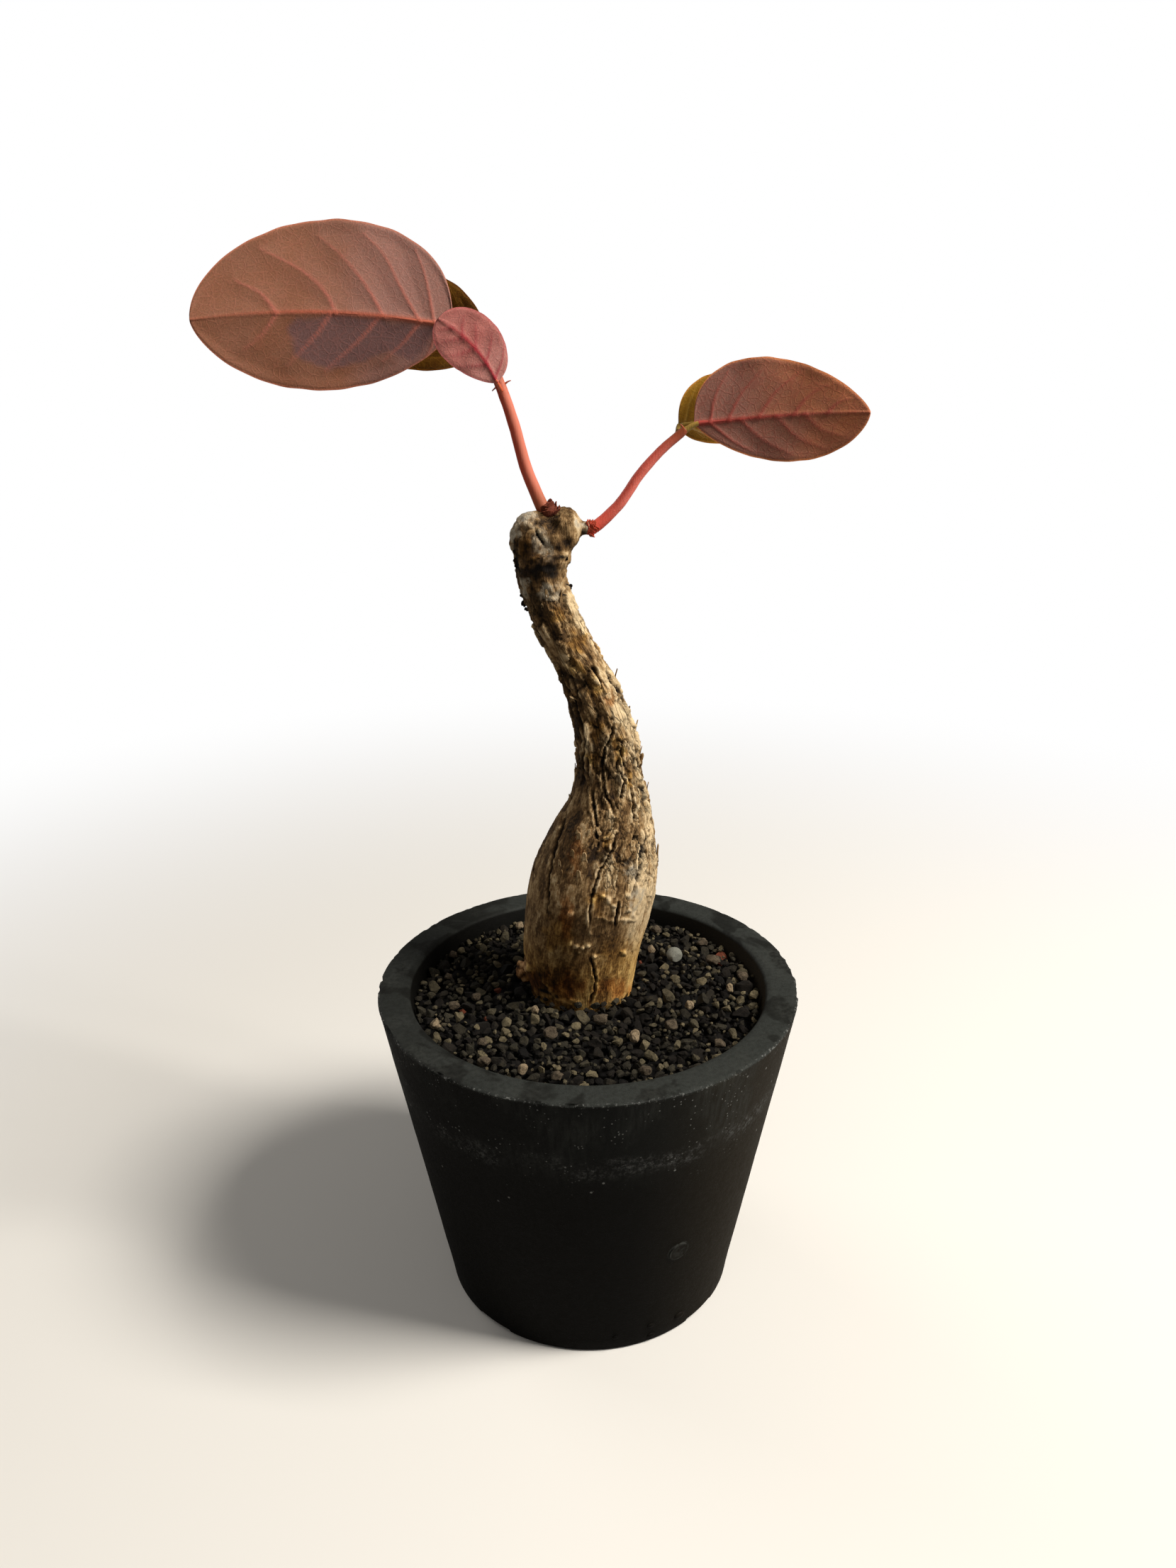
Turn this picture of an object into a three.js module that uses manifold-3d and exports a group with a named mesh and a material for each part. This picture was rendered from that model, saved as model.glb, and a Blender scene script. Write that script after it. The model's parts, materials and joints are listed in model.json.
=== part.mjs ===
// A Phyllanthus mirabilis seedling grown as a small bonsai in a tapered black pot.
// Millimetres, +Z up. The origin is the centre of the pot's foot, and -Y is the front.
import * as THREE from 'three';
import Module from 'manifold-3d';
import { mergeVertices } from 'three/addons/utils/BufferGeometryUtils.js';
import { ConvexGeometry } from 'three/addons/geometries/ConvexGeometry.js';

// Driving sizes of the pot
const POT_HEIGHT = 84;
const POT_TOP_RADIUS = 52.5;
const POT_FOOT_RADIUS = 37.2;
const POT_MOUTH_RADIUS = 44.6;
const POT_INNER_FLOOR_RADIUS = 31.5;
const POT_FLOOR = 9;
const POT_EDGE = 1.1;
const DRAIN_HOLES = 4;
const DRAIN_HOLE_RADIUS = 4.5;
const DRAIN_CIRCLE_RADIUS = 18;
const DRAIN_CHANNEL_WIDTH = 10.5;
const DRAIN_CHANNEL_DEPTH = 1.3;
const DRAIN_FIRST_ANGLE = THREE.MathUtils.degToRad(-41);

// Driving sizes of what fills the pot
const SEAT_GAP = 0.3;
const NET_RADIUS = 25;
const NET_THICKNESS = 0.8;
const NET_PITCH = 7;
const NET_OPENING = 5.4;
const GRAVEL_TOP = 26;
const SOIL_EDGE = 78.8;
const SOIL_CROWN = 80.4;

// The caudex from its buried foot to the crown: height, centre x, centre y and half width
const TRUNK_STATIONS = [
  [44, -1.4, 6, 3.2],
  [52, -1.4, 6, 8],
  [66, -1.4, 6, 11.4],
  [80, -1.6, 6, 13.2],
  [91, -1.5, 5, 14.8],
  [107, 1, 3.2, 15.9],
  [116, 2.4, 3.2, 15],
  [125.5, 4.1, 3.5, 12.3],
  [131, 5.5, 3.8, 10.2],
  [138, 5.6, 4, 8.3],
  [149, 4.4, 3.5, 7.5],
  [161.5, 0.5, 2.8, 6.7],
  [175, -5.9, 1.8, 6.2],
  [186, -9.6, 0.8, 5.6],
  [192, -9.2, 0.4, 6.4],
];
const TRUNK_DEPTH_RATIO = 0.96;

// Knobs that make up the crown: centre and half sizes
const CROWN_KNOBS = [
  { at: [-10.9, 0, 194.6], half: [5, 5, 6.4] },
  { at: [-4.3, 0.2, 196.8], half: [3.8, 4.2, 5] },
  { at: [-7.8, 0.6, 197.4], half: [3.4, 3.4, 2.6] },
  { at: [-6.9, 0.4, 191], half: [3.8, 4.6, 4.5] },
  { at: [-0.3, 0.7, 196.1], half: [1.7, 1.6, 1.5] },
];

// Main roots under the grit: direction in degrees, reach and thickness
const ROOTS = [
  { angle: 15, reach: 27, radius: 3.2 },
  { angle: 95, reach: 22, radius: 2.8 },
  { angle: 165, reach: 28, radius: 3.4 },
  { angle: 230, reach: 24, radius: 3 },
  { angle: 300, reach: 26, radius: 3.1 },
];
const ROOT_STUB = { from: [-9, 6.5, 82], to: [-18.2, 7.2, 82.2], radius: 3.4, tipRadius: 2.1 };

// The two young shoots, from the crown to their tips, with their radii at foot, middle and tip
const LEFT_SHOOT = {
  path: [[-8.6, 0.9, 201.2], [-10.3, 0.8, 204], [-12.7, 0.3, 210.4], [-14.6, -0.2, 218],
    [-16.6, -0.8, 224.6], [-19.2, -0.9, 231], [-22.9, -0.5, 235.6]],
  radii: [1.25, 1, 0.8],
};
const RIGHT_SHOOT = {
  path: [[2.2, 0.9, 196.4], [4.7, 0.9, 199], [8.2, 0.7, 202.8], [12, 0.5, 208.4],
    [16.5, 0.3, 213.4], [20.6, 0.2, 216.9]],
  radii: [1.1, 0.88, 0.8],
};

// Collars of old bud scales round the foot of each shoot
const BUD_SCALES = {
  left: { radius: 2.3, rise: 1.8, tip: 1, scales: 5 },
  right: { radius: 2, rise: 1.6, tip: 0.9, scales: 5 },
};

// Leaves: base and tip of the blade, the way its face looks, how far the midrib rises and bows,
// the half widths above and below it with the fullness of their ends, and where the stalk starts
const LEAF_THICKNESS = 0.4;
const LEAVES = {
  left_large_leaf: {
    base: [-26.9, 0, 238.5], tip: [-78.2, -10, 240.4], facing: [-0.15, -1, 0.1],
    rise: 2.3, bow: -2, fold: 12,
    upper: { width: 18.2, base: 0.3, tip: 0.46 }, lower: { width: 15.3, base: 0.71, tip: 0.63 },
    stalk: [-23.3, -0.4, 236.1], steps: 14, color: 0x86594a,
  },
  left_far_leaf: {
    base: [-20, 3, 233], tip: [-58.8, 9, 241.2], facing: [-0.1, -1, 0.1],
    rise: 1, bow: -1.5, fold: -10,
    upper: { width: 12.6, base: 0.55, tip: 0.85 }, lower: { width: 7.7, base: 0.95, tip: 1.1 },
    stalk: [-19.3, 0.6, 231.6], steps: 12, color: 0x59451c,
  },
  left_small_leaf: {
    base: [-17.9, -4, 227.7], tip: [-29, -9, 240.3], facing: [0, -1, 0.2],
    rise: 1.5, bow: -1, fold: 8,
    upper: { width: 6.2, base: 0.33, tip: 0.35 }, lower: { width: 5.9, base: 0.82, tip: 0.59 },
    stalk: [-17.1, -2.5, 226], steps: 8, color: 0x98595a,
  },
  right_near_leaf: {
    base: [23.1, 0, 219.5], tip: [59.2, -7, 221.6], facing: [0.12, -1, 0.15],
    rise: 0.6, bow: -1, fold: 10,
    upper: { width: 11.9, base: 0.38, tip: 0.72 }, lower: { width: 9.8, base: 0.84, tip: 0.64 },
    stalk: [21.1, 0.1, 217.3], steps: 12, color: 0x80503f,
  },
  right_far_leaf: {
    base: [20.3, 3, 218.3], tip: [48, 8, 220.3], facing: [0.1, -1, 0.1],
    rise: 0.5, bow: -1, fold: -8,
    upper: { width: 9.8, base: 0.36, tip: 0.6 }, lower: { width: 5.2, base: 0.6, tip: 0.95 },
    stalk: [20.2, 1.4, 217.2], steps: 10, color: 0x6b6a2a,
  },
};

// Larger stones lying on the grit: place and width
const STONES = [
  { x: -19, y: 36, size: 3.4 }, { x: -36, y: 8, size: 2.6 }, { x: -33, y: -7, size: 3.4 },
  { x: -37, y: -15, size: 4.1 }, { x: -25, y: -23, size: 2.9 }, { x: -24, y: -31, size: 3.6 },
  { x: -15, y: -34, size: 3.4 }, { x: -7, y: -37, size: 3.5 }, { x: -9, y: -21, size: 4.4 },
  { x: -13, y: -10, size: 3.1 }, { x: -36, y: 20, size: 2.9 }, { x: -28, y: -3, size: 3 },
  { x: 17, y: 20, size: 3.6 }, { x: 40, y: 7, size: 3.8 }, { x: 33, y: 14, size: 4.5 },
  { x: 36, y: 1, size: 3.2 }, { x: 20, y: -17, size: 3.8 }, { x: 3, y: -15, size: 4.4 },
  { x: 11, y: -22, size: 4.2 }, { x: 31, y: -24, size: 3.1 }, { x: 13, y: -35, size: 3.4 },
  { x: 25, y: -8, size: 3.4 }, { x: 19, y: 32, size: 3.7 }, { x: 31, y: 25, size: 3.9 },
];
const PALE_PEBBLE = { x: 23, y: 16, size: 5.2, flatness: 0.6 };
const STONE_CORNERS = 16;

const wasm = await Module();
wasm.setup();

// Turns a closed geometry into a solid, with its shared corners merged and empty triangles dropped.
function solid(geometry) {
  const bare = new THREE.BufferGeometry();
  bare.setAttribute('position', geometry.getAttribute('position').clone());
  bare.setIndex(geometry.getIndex());
  const merged = mergeVertices(bare, 1e-4);
  const corners = merged.getIndex().array;
  const kept = [];
  for (let i = 0; i < corners.length; i += 3) {
    const [a, b, c] = corners.slice(i, i + 3);
    if (a !== b && b !== c && c !== a) kept.push(a, b, c);
  }
  return new wasm.Manifold(new wasm.Mesh({
    numProp: 3,
    vertProperties: new Float32Array(merged.getAttribute('position').array),
    triVerts: new Uint32Array(kept),
  }));
}

function geometryOf(shape) {
  const mesh = shape.getMesh();
  const geometry = new THREE.BufferGeometry();
  geometry.setAttribute('position', new THREE.BufferAttribute(mesh.vertProperties, 3));
  geometry.setIndex(new THREE.BufferAttribute(mesh.triVerts, 1));
  geometry.computeVertexNormals();
  return geometry;
}

function joined(shapes) {
  return shapes.reduce((sum, shape) => sum.add(shape));
}

function cut(shape, tools) {
  return tools.reduce((rest, tool) => rest.subtract(tool), shape);
}

// A solid turned about the Z axis from a profile of [radius, height] points.
function turned(profile, segments) {
  const points = profile.map(([radius, height]) => new THREE.Vector2(radius, height));
  return solid(new THREE.LatheGeometry(points, segments).rotateX(Math.PI / 2));
}

// Moves every corner of a geometry to where the function places it.
function reshaped(geometry, place) {
  const position = geometry.getAttribute('position');
  const corner = new THREE.Vector3();
  for (let i = 0; i < position.count; i += 1) {
    const target = place(corner.fromBufferAttribute(position, i));
    position.setXYZ(i, target.x, target.y, target.z);
  }
  return geometry;
}

// A round bar along a smooth path, its radius read evenly from a list.
function tapered(path, radii, sides, steps, grow = 0) {
  const curve = new THREE.CatmullRomCurve3(path.map((point) => new THREE.Vector3(...point)));
  const frames = curve.computeFrenetFrames(steps, false);
  const width = new THREE.SplineCurve(radii.map((radius, i) => new THREE.Vector2(i, radius)));
  const bar = new THREE.CylinderGeometry(1, 1, 1, sides, steps);
  return solid(reshaped(bar, (corner) => {
    const along = corner.y + 0.5;
    const step = Math.round(along * steps);
    const radius = width.getPoint(along).y + grow;
    return curve.getPointAt(along)
      .addScaledVector(frames.normals[step], corner.x * radius)
      .addScaledVector(frames.binormals[step], -corner.z * radius)
      .addScaledVector(frames.tangents[step], (along * 2 - 1) * grow);
  }));
}

function potOuterRadius(height) {
  return THREE.MathUtils.lerp(POT_FOOT_RADIUS, POT_TOP_RADIUS, height / POT_HEIGHT);
}

function potInnerRadius(height) {
  const share = (height - POT_FLOOR) / (POT_HEIGHT - POT_FLOOR);
  return THREE.MathUtils.lerp(POT_INNER_FLOOR_RADIUS, POT_MOUTH_RADIUS, share);
}

function soilHeight(radius) {
  return THREE.MathUtils.lerp(SOIL_CROWN, SOIL_EDGE, (radius / POT_MOUTH_RADIUS) ** 2);
}

function pot() {
  const body = turned([
    [0, 0],
    [POT_FOOT_RADIUS - POT_EDGE, 0],
    [potOuterRadius(POT_EDGE), POT_EDGE],
    [potOuterRadius(POT_HEIGHT - POT_EDGE), POT_HEIGHT - POT_EDGE],
    [POT_TOP_RADIUS - POT_EDGE * 0.3, POT_HEIGHT - POT_EDGE * 0.3],
    [POT_TOP_RADIUS - POT_EDGE, POT_HEIGHT],
    [POT_MOUTH_RADIUS + POT_EDGE, POT_HEIGHT],
    [POT_MOUTH_RADIUS, POT_HEIGHT - POT_EDGE],
    [potInnerRadius(POT_FLOOR * 2), POT_FLOOR * 2],
    [POT_INNER_FLOOR_RADIUS - POT_EDGE, POT_FLOOR],
    [0, POT_FLOOR],
  ], 56);
  const tools = [];
  for (let i = 0; i < DRAIN_HOLES; i += 1) {
    const angle = DRAIN_FIRST_ANGLE + (i * 2 * Math.PI) / DRAIN_HOLES;
    const hole = new THREE.CylinderGeometry(DRAIN_HOLE_RADIUS, DRAIN_HOLE_RADIUS, POT_FLOOR * 3, 20)
      .rotateX(Math.PI / 2)
      .translate(DRAIN_CIRCLE_RADIUS, 0, POT_FLOOR / 2)
      .rotateZ(angle);
    const reach = POT_FOOT_RADIUS * 1.2 - DRAIN_CIRCLE_RADIUS;
    const channel = new THREE.BoxGeometry(reach, DRAIN_CHANNEL_WIDTH, DRAIN_CHANNEL_DEPTH * 2)
      .translate(DRAIN_CIRCLE_RADIUS + reach / 2, 0, 0)
      .rotateZ(angle);
    tools.push(solid(hole), solid(channel));
  }
  return cut(body, tools);
}

function drainNet() {
  const middle = POT_FLOOR + SEAT_GAP + NET_THICKNESS / 2;
  const sheet = new THREE.CylinderGeometry(NET_RADIUS, NET_RADIUS, NET_THICKNESS, 40)
    .rotateX(Math.PI / 2)
    .translate(0, 0, middle);
  const openings = [];
  const rows = Math.floor(NET_RADIUS / NET_PITCH);
  for (let i = -rows; i <= rows; i += 1) {
    for (let j = -rows; j <= rows; j += 1) {
      const x = i * NET_PITCH;
      const y = j * NET_PITCH;
      const corner = Math.hypot(Math.abs(x) + NET_OPENING / 2, Math.abs(y) + NET_OPENING / 2);
      if (corner < NET_RADIUS - 1) {
        const opening = new THREE.BoxGeometry(NET_OPENING, NET_OPENING, NET_THICKNESS * 3);
        openings.push(solid(opening.translate(x, y, middle)));
      }
    }
  }
  return cut(solid(sheet), openings);
}

function drainageGravel() {
  const netTop = POT_FLOOR + SEAT_GAP + NET_THICKNESS + SEAT_GAP;
  return turned([
    [0, netTop],
    [NET_RADIUS + SEAT_GAP, netTop],
    [NET_RADIUS + SEAT_GAP, POT_FLOOR + SEAT_GAP],
    [POT_INNER_FLOOR_RADIUS - POT_EDGE - SEAT_GAP, POT_FLOOR + SEAT_GAP],
    [potInnerRadius(POT_FLOOR * 2) - SEAT_GAP, POT_FLOOR * 2],
    [potInnerRadius(GRAVEL_TOP) - SEAT_GAP, GRAVEL_TOP],
    [0, GRAVEL_TOP],
  ], 36);
}

// The caudex as one lofted body, grown outwards by a clearance where a pocket is wanted.
function caudex(grow) {
  const path = new THREE.CatmullRomCurve3(
    TRUNK_STATIONS.map(([height, x, y]) => new THREE.Vector3(x, y, height)),
    false,
    'catmullrom',
  );
  const width = new THREE.SplineCurve(TRUNK_STATIONS.map(([, , , half], i) => new THREE.Vector2(i, half)));
  const rings = Math.round((TRUNK_STATIONS.length - 1) * 1.5);
  return solid(reshaped(new THREE.CylinderGeometry(1, 1, 1, 20, rings), (corner) => {
    const along = corner.y + 0.5;
    const angle = Math.atan2(corner.z, corner.x);
    const ribs = 1 + 0.02 * Math.cos(3 * angle + along * 5) + 0.012 * Math.cos(5 * angle - along * 9);
    const radius = width.getPoint(along).y * ribs + grow;
    const centre = path.getPoint(along);
    centre.x += corner.x * radius;
    centre.y -= corner.z * radius * TRUNK_DEPTH_RATIO;
    centre.z += (along * 2 - 1) * grow;
    return centre;
  }));
}

function root({ angle, reach, radius }, grow) {
  const turn = THREE.MathUtils.degToRad(angle);
  const [, x, y] = TRUNK_STATIONS[0];
  const point = (share, height) => [
    x + Math.cos(turn) * reach * share, y + Math.sin(turn) * reach * share, height,
  ];
  const path = [point(0.1, 70), point(0.42, 64), point(0.75, 54), point(1, 38)];
  return tapered(path, [radius * 1.3, radius, radius * 0.7, radius * 0.35], 8, 6, grow);
}

function rootStub(grow) {
  const { from, to, radius, tipRadius } = ROOT_STUB;
  const middle = from.map((value, i) => (value + to[i]) / 2 + (i === 2 ? 0.6 : 0));
  return tapered([from, middle, to], [radius, radius * 0.95, tipRadius], 10, 4, grow);
}

function knob({ at, half }) {
  return solid(new THREE.SphereGeometry(1, 12, 8).scale(...half).translate(...at));
}

function trunk() {
  const roots = ROOTS.map((entry) => root(entry, 0));
  return joined([caudex(0), rootStub(0), ...CROWN_KNOBS.map(knob), ...roots]);
}

function soil() {
  const bottom = GRAVEL_TOP + SEAT_GAP;
  const profile = [[0, bottom], [potInnerRadius(bottom) - SEAT_GAP, bottom]];
  const top = soilHeight(POT_MOUTH_RADIUS);
  const steps = 4;
  for (let i = 0; i <= steps; i += 1) {
    const radius = (potInnerRadius(top) - SEAT_GAP) * (1 - i / steps);
    profile.push([radius, soilHeight(radius)]);
  }
  const roots = ROOTS.map((entry) => root(entry, SEAT_GAP));
  return cut(turned(profile, 48), [caudex(SEAT_GAP), rootStub(SEAT_GAP), ...roots]);
}

function shoot({ path, radii }, grow = 0) {
  return tapered(path, radii, 10, 14, grow);
}

// A collar of pointed scales round the first stretch of a shoot, hollowed for the shoot and the wood.
function budScales({ radius, rise, tip, scales }, stem) {
  const [foot, next] = stem.path.map((point) => new THREE.Vector3(...point));
  const axis = next.clone().sub(foot).normalize();
  const upright = new THREE.Quaternion().setFromUnitVectors(new THREE.Vector3(0, 1, 0), axis);
  const seated = (geometry) => solid(geometry.applyQuaternion(upright).translate(foot.x, foot.y, foot.z));
  const collar = new THREE.CylinderGeometry(radius * 0.9, radius, rise, 12).translate(0, -rise * 0.1, 0);
  const pieces = [seated(collar)];
  for (let i = 0; i < scales; i += 1) {
    const scale = new THREE.ConeGeometry(radius * 0.42, tip * 2, 6)
      .translate(0, tip * (0.8 + 0.2 * (i % 2)), radius * 0.84)
      .rotateY((i * 2 * Math.PI) / scales + 0.4);
    pieces.push(seated(scale));
  }
  const wood = CROWN_KNOBS.map(({ at, half }) => knob({ at, half: half.map((size) => size + SEAT_GAP) }));
  return cut(joined(pieces), [shoot(stem, SEAT_GAP), ...wood, caudex(SEAT_GAP)]);
}

// How wide a blade is along its length, as a share of its full half width.
function bladeWidth(along, { base, tip }) {
  const widest = base / (base + tip);
  return (along ** base * (1 - along) ** tip) / (widest ** base * (1 - widest) ** tip);
}

function leaf({ base, tip, facing, rise, bow, fold, upper, lower, stalk, steps }) {
  const foot = new THREE.Vector3(...base);
  const length = new THREE.Vector3(...tip).sub(foot);
  const along = length.clone().normalize();
  const face = new THREE.Vector3(...facing);
  face.addScaledVector(along, -face.dot(along)).normalize();
  const across = new THREE.Vector3().crossVectors(face, along);
  if (across.z < 0) across.negate();
  const out = new THREE.Vector3().crossVectors(along, across);
  const turn = THREE.MathUtils.degToRad(fold);

  const surface = (share, side) => {
    const hump = 4 * share * (1 - share);
    const half = side >= 0 ? upper : lower;
    const width = Math.max(half.width * bladeWidth(share, half), LEAF_THICKNESS) * side;
    return foot.clone()
      .addScaledVector(length, share)
      .addScaledVector(across, rise * hump + Math.cos(turn) * width)
      .addScaledVector(face, bow * hump - Math.sin(turn) * Math.abs(width));
  };
  const blade = reshaped(new THREE.BoxGeometry(1, 1, 1, steps, 4, 1), (corner) => {
    const share = (1 - Math.cos(Math.PI * (corner.x + 0.5))) / 2;
    return surface(share, corner.y * 2).addScaledVector(out, corner.z * LEAF_THICKNESS);
  });
  const ribShares = [0.02, 0.2, 0.45];
  const rib = ribShares.map((share) => surface(share, 0).toArray());
  return joined([solid(blade), tapered([stalk, ...rib], [0.65, 0.7, 0.45, 0.22], 8, 8)]);
}

// A repeatable stream of numbers between 0 and 1.
function dice(seed) {
  let state = seed;
  return () => {
    state = (state * 16807) % 2147483647;
    return state / 2147483647;
  };
}

// An angular or rounded stone resting on the grit.
function stone({ x, y, size, flatness = 0.75 }, seed) {
  const roll = dice(seed);
  const half = new THREE.Vector3(size / 2, (size / 2) * (0.75 + 0.25 * roll()), (size / 2) * flatness);
  const corners = [];
  for (let i = 0; i < STONE_CORNERS; i += 1) {
    const height = 1 - (2 * i + 1) / STONE_CORNERS;
    const ring = Math.sqrt(1 - height * height);
    const angle = i * 2.4 + roll() * 0.7;
    const corner = new THREE.Vector3(Math.cos(angle) * ring, Math.sin(angle) * ring, height);
    corners.push(corner.multiply(half).multiplyScalar(0.88 + 0.12 * roll()));
  }
  const lowest = Math.min(...corners.map((corner) => corner.z));
  const reach = Math.max(0, Math.hypot(x, y) - size / 2);
  const seat = soilHeight(reach) + SEAT_GAP;
  const turn = roll() * Math.PI;
  return solid(new ConvexGeometry(corners).rotateZ(turn).translate(x, y, seat - lowest));
}

const plant = new THREE.Group();

function place(name, shape, color, roughness) {
  const material = new THREE.MeshStandardMaterial({ color, roughness, metalness: 0 });
  const mesh = new THREE.Mesh(geometryOf(shape), material);
  mesh.name = name;
  plant.add(mesh);
}

place('pot', pot(), 0x24272a, 0.75);
place('drain_net', drainNet(), 0x1d1d1d, 0.6);
place('drainage_gravel', drainageGravel(), 0x6a6258, 0.95);
place('soil', soil(), 0x2c2620, 0.95);
place('trunk', trunk(), 0x7d6444, 0.85);
place('left_bud_scales', budScales(BUD_SCALES.left, LEFT_SHOOT), 0x6d2c22, 0.8);
place('right_bud_scales', budScales(BUD_SCALES.right, RIGHT_SHOOT), 0xa3402c, 0.8);
place('left_shoot', shoot(LEFT_SHOOT), 0xb0563f, 0.45);
place('right_shoot', shoot(RIGHT_SHOOT), 0xc23322, 0.45);
for (const [name, shape] of Object.entries(LEAVES)) {
  place(name, leaf(shape), shape.color, 0.5);
}
STONES.forEach((entry, i) => {
  const name = `stone_${String(i + 1).padStart(2, '0')}`;
  place(name, stone(entry, 31 + i * 7), i % 3 ? 0x463d33 : 0x6b6357, 0.95);
});
place('pale_pebble', stone(PALE_PEBBLE, 977), 0x8b8a82, 0.9);

export default plant;
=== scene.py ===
"""A potted Phyllanthus mirabilis bonsai, built around its measured frame.

Pieces are modelled in millimetres in the frame's own axes and brought to metres when they are finished.
"""

import json
import math
import random
from functools import cache
from types import SimpleNamespace

import bmesh
import bpy
import numpy as np
from bpy.props import FloatProperty, FloatVectorProperty, IntProperty, PointerProperty
from mathutils import Matrix, Quaternion, Vector, noise


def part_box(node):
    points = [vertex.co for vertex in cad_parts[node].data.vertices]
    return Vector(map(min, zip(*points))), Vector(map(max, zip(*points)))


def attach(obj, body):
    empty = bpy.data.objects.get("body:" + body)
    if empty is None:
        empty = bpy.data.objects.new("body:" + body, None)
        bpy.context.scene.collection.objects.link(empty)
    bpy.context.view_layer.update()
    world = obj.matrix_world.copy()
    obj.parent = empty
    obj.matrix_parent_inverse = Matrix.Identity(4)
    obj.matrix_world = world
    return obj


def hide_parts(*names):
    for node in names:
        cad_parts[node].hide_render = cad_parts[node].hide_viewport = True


bl_info = {
    "name": "Potted Caudex Bonsai",
    "version": (1, 0, 0),
    "blender": (4, 5, 0),
    "location": "View3D > Sidebar > Bonsai",
    "description": "Builds a caudex bonsai in its pot, with bark, grit, shoots and leaves",
    "category": "Add Mesh",
}

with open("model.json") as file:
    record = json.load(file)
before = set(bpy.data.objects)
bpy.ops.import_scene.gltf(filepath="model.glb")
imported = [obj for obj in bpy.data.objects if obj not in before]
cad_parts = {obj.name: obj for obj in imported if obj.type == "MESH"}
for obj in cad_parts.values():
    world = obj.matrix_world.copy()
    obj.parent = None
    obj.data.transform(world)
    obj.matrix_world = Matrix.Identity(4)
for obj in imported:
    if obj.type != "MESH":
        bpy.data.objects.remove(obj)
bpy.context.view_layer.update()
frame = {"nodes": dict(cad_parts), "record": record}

MM = 0.001
BODY = "root"

# The photograph's frame and the camera that took it
PHOTO_WIDTH = 1659
PHOTO_HEIGHT = 2212
FOCAL_PIXELS = 1758.25
SENSOR_MM = 36.0


def tint(red, green, blue):
    """A colour given in screen values, 0 to 255, as the linear colour that a shader takes."""
    shares = (red / 255, green / 255, blue / 255)
    linear = [c / 12.92 if c <= 0.04045 else ((c + 0.055) / 1.055) ** 2.4 for c in shares]
    return (*linear, 1.0)


def swatch(name, description, *screen, linear=None):
    """A colour setting, given in screen values or as linear light."""
    colour = (*linear, 1.0) if linear else tint(*screen)
    return FloatVectorProperty(
        name=name, description=description, subtype="COLOR", size=4, min=0.0, max=1.0, default=colour
    )


def measure(name, description, size_mm):
    return FloatProperty(
        name=name, description=description, subtype="DISTANCE", unit="LENGTH", min=0.0, default=size_mm * MM
    )


def amount(name, description, default, **options):
    return FloatProperty(name=name, description=description, default=default, **options)


def turning(name, description, default):
    return amount(name, description, default, subtype="ANGLE", unit="ROTATION")


def tally(name, description, default, low=0):
    return IntProperty(name=name, description=description, default=default, min=low)


# Driving sizes of the pot, in millimetres
POT_FLOOR = 9.0
POT_INNER_FLOOR_RADIUS = 31.5
POT_RIM_WIDTH = 7.9
POT_SIDES = 320
DRAIN_HOLE_RADIUS = 4.5
DRAIN_CIRCLE_RADIUS = 18.0
DRAIN_CHANNEL_WIDTH = 10.5
DRAIN_CHANNEL_DEPTH = 1.3
DRAIN_FIRST_ANGLE = -41.0
MOULD_MARK = {"turn": 29.7, "height": 31.2, "radius": 2.6}
SCUFF_HEIGHT = 64.6
SCUFF_WANDER = 5.0
# Where each look of the clay sets in and is full: up the wall, across it from left to right, or by radius
CLAY_SPANS = {
    "rim": ("height", 82.9, 83.6),
    "outside": ("radius", 45.5, 46.5),
    "handled": ("height", 50, 72),
    "handled_side": ("across", -40, 5),
    # Painted light on the wall's right flank
    "lit_flank_side": ("across", 8, 46),
    # Painted shade: the rim darker on its left, away from the key light
    "shaded_left_rim": ("across", -46, -10),
    "wiped": ("height", 55, 74),
    "specks": ("height", 52, 70),
    "spots": ("height", 30, 60),
    "worn_edge": ("radius", 51.65, 52.1),
    "worn_top": ("height", 82.8, 83.3),
}
BLISTERS = [
    {"turn": 9.3, "height": 4.7, "radius": 0.8},
    {"turn": 23.0, "height": 6.2, "radius": 1.0},
    {"turn": 23.7, "height": 2.3, "radius": 1.1},
    {"turn": 35.9, "height": 5.2, "radius": 1.5},
]

# The pot's inside: its radius where the rim begins, and its depth
POT_MOUTH_RADIUS = 44.6
POT_INNER_DEPTH = 75.0

# The grit: the height of its surface in the middle and at the wall, how far below it the bed ends,
# where the gravel ends, how far out the middle of a grain lies at most, and how far above the surface
SOIL_CROWN = 80.4
SOIL_EDGE = 78.8
BED_DEPTH = 2.2
GRAVEL_TOP = 26.3
GRAIN_REACH = 43.9
GRAIN_RISE = 1.3
# Where no grain falls: the trunk's ellipse, and the root stub, which lies along X
TRUNK_FOOTPRINT = {"middle": (-1.6, 6), "half": (12.9, 12.4)}
STUB_FOOTPRINT = {"left": -19, "right": -9, "middle": 7, "half": 2.6}

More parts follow.
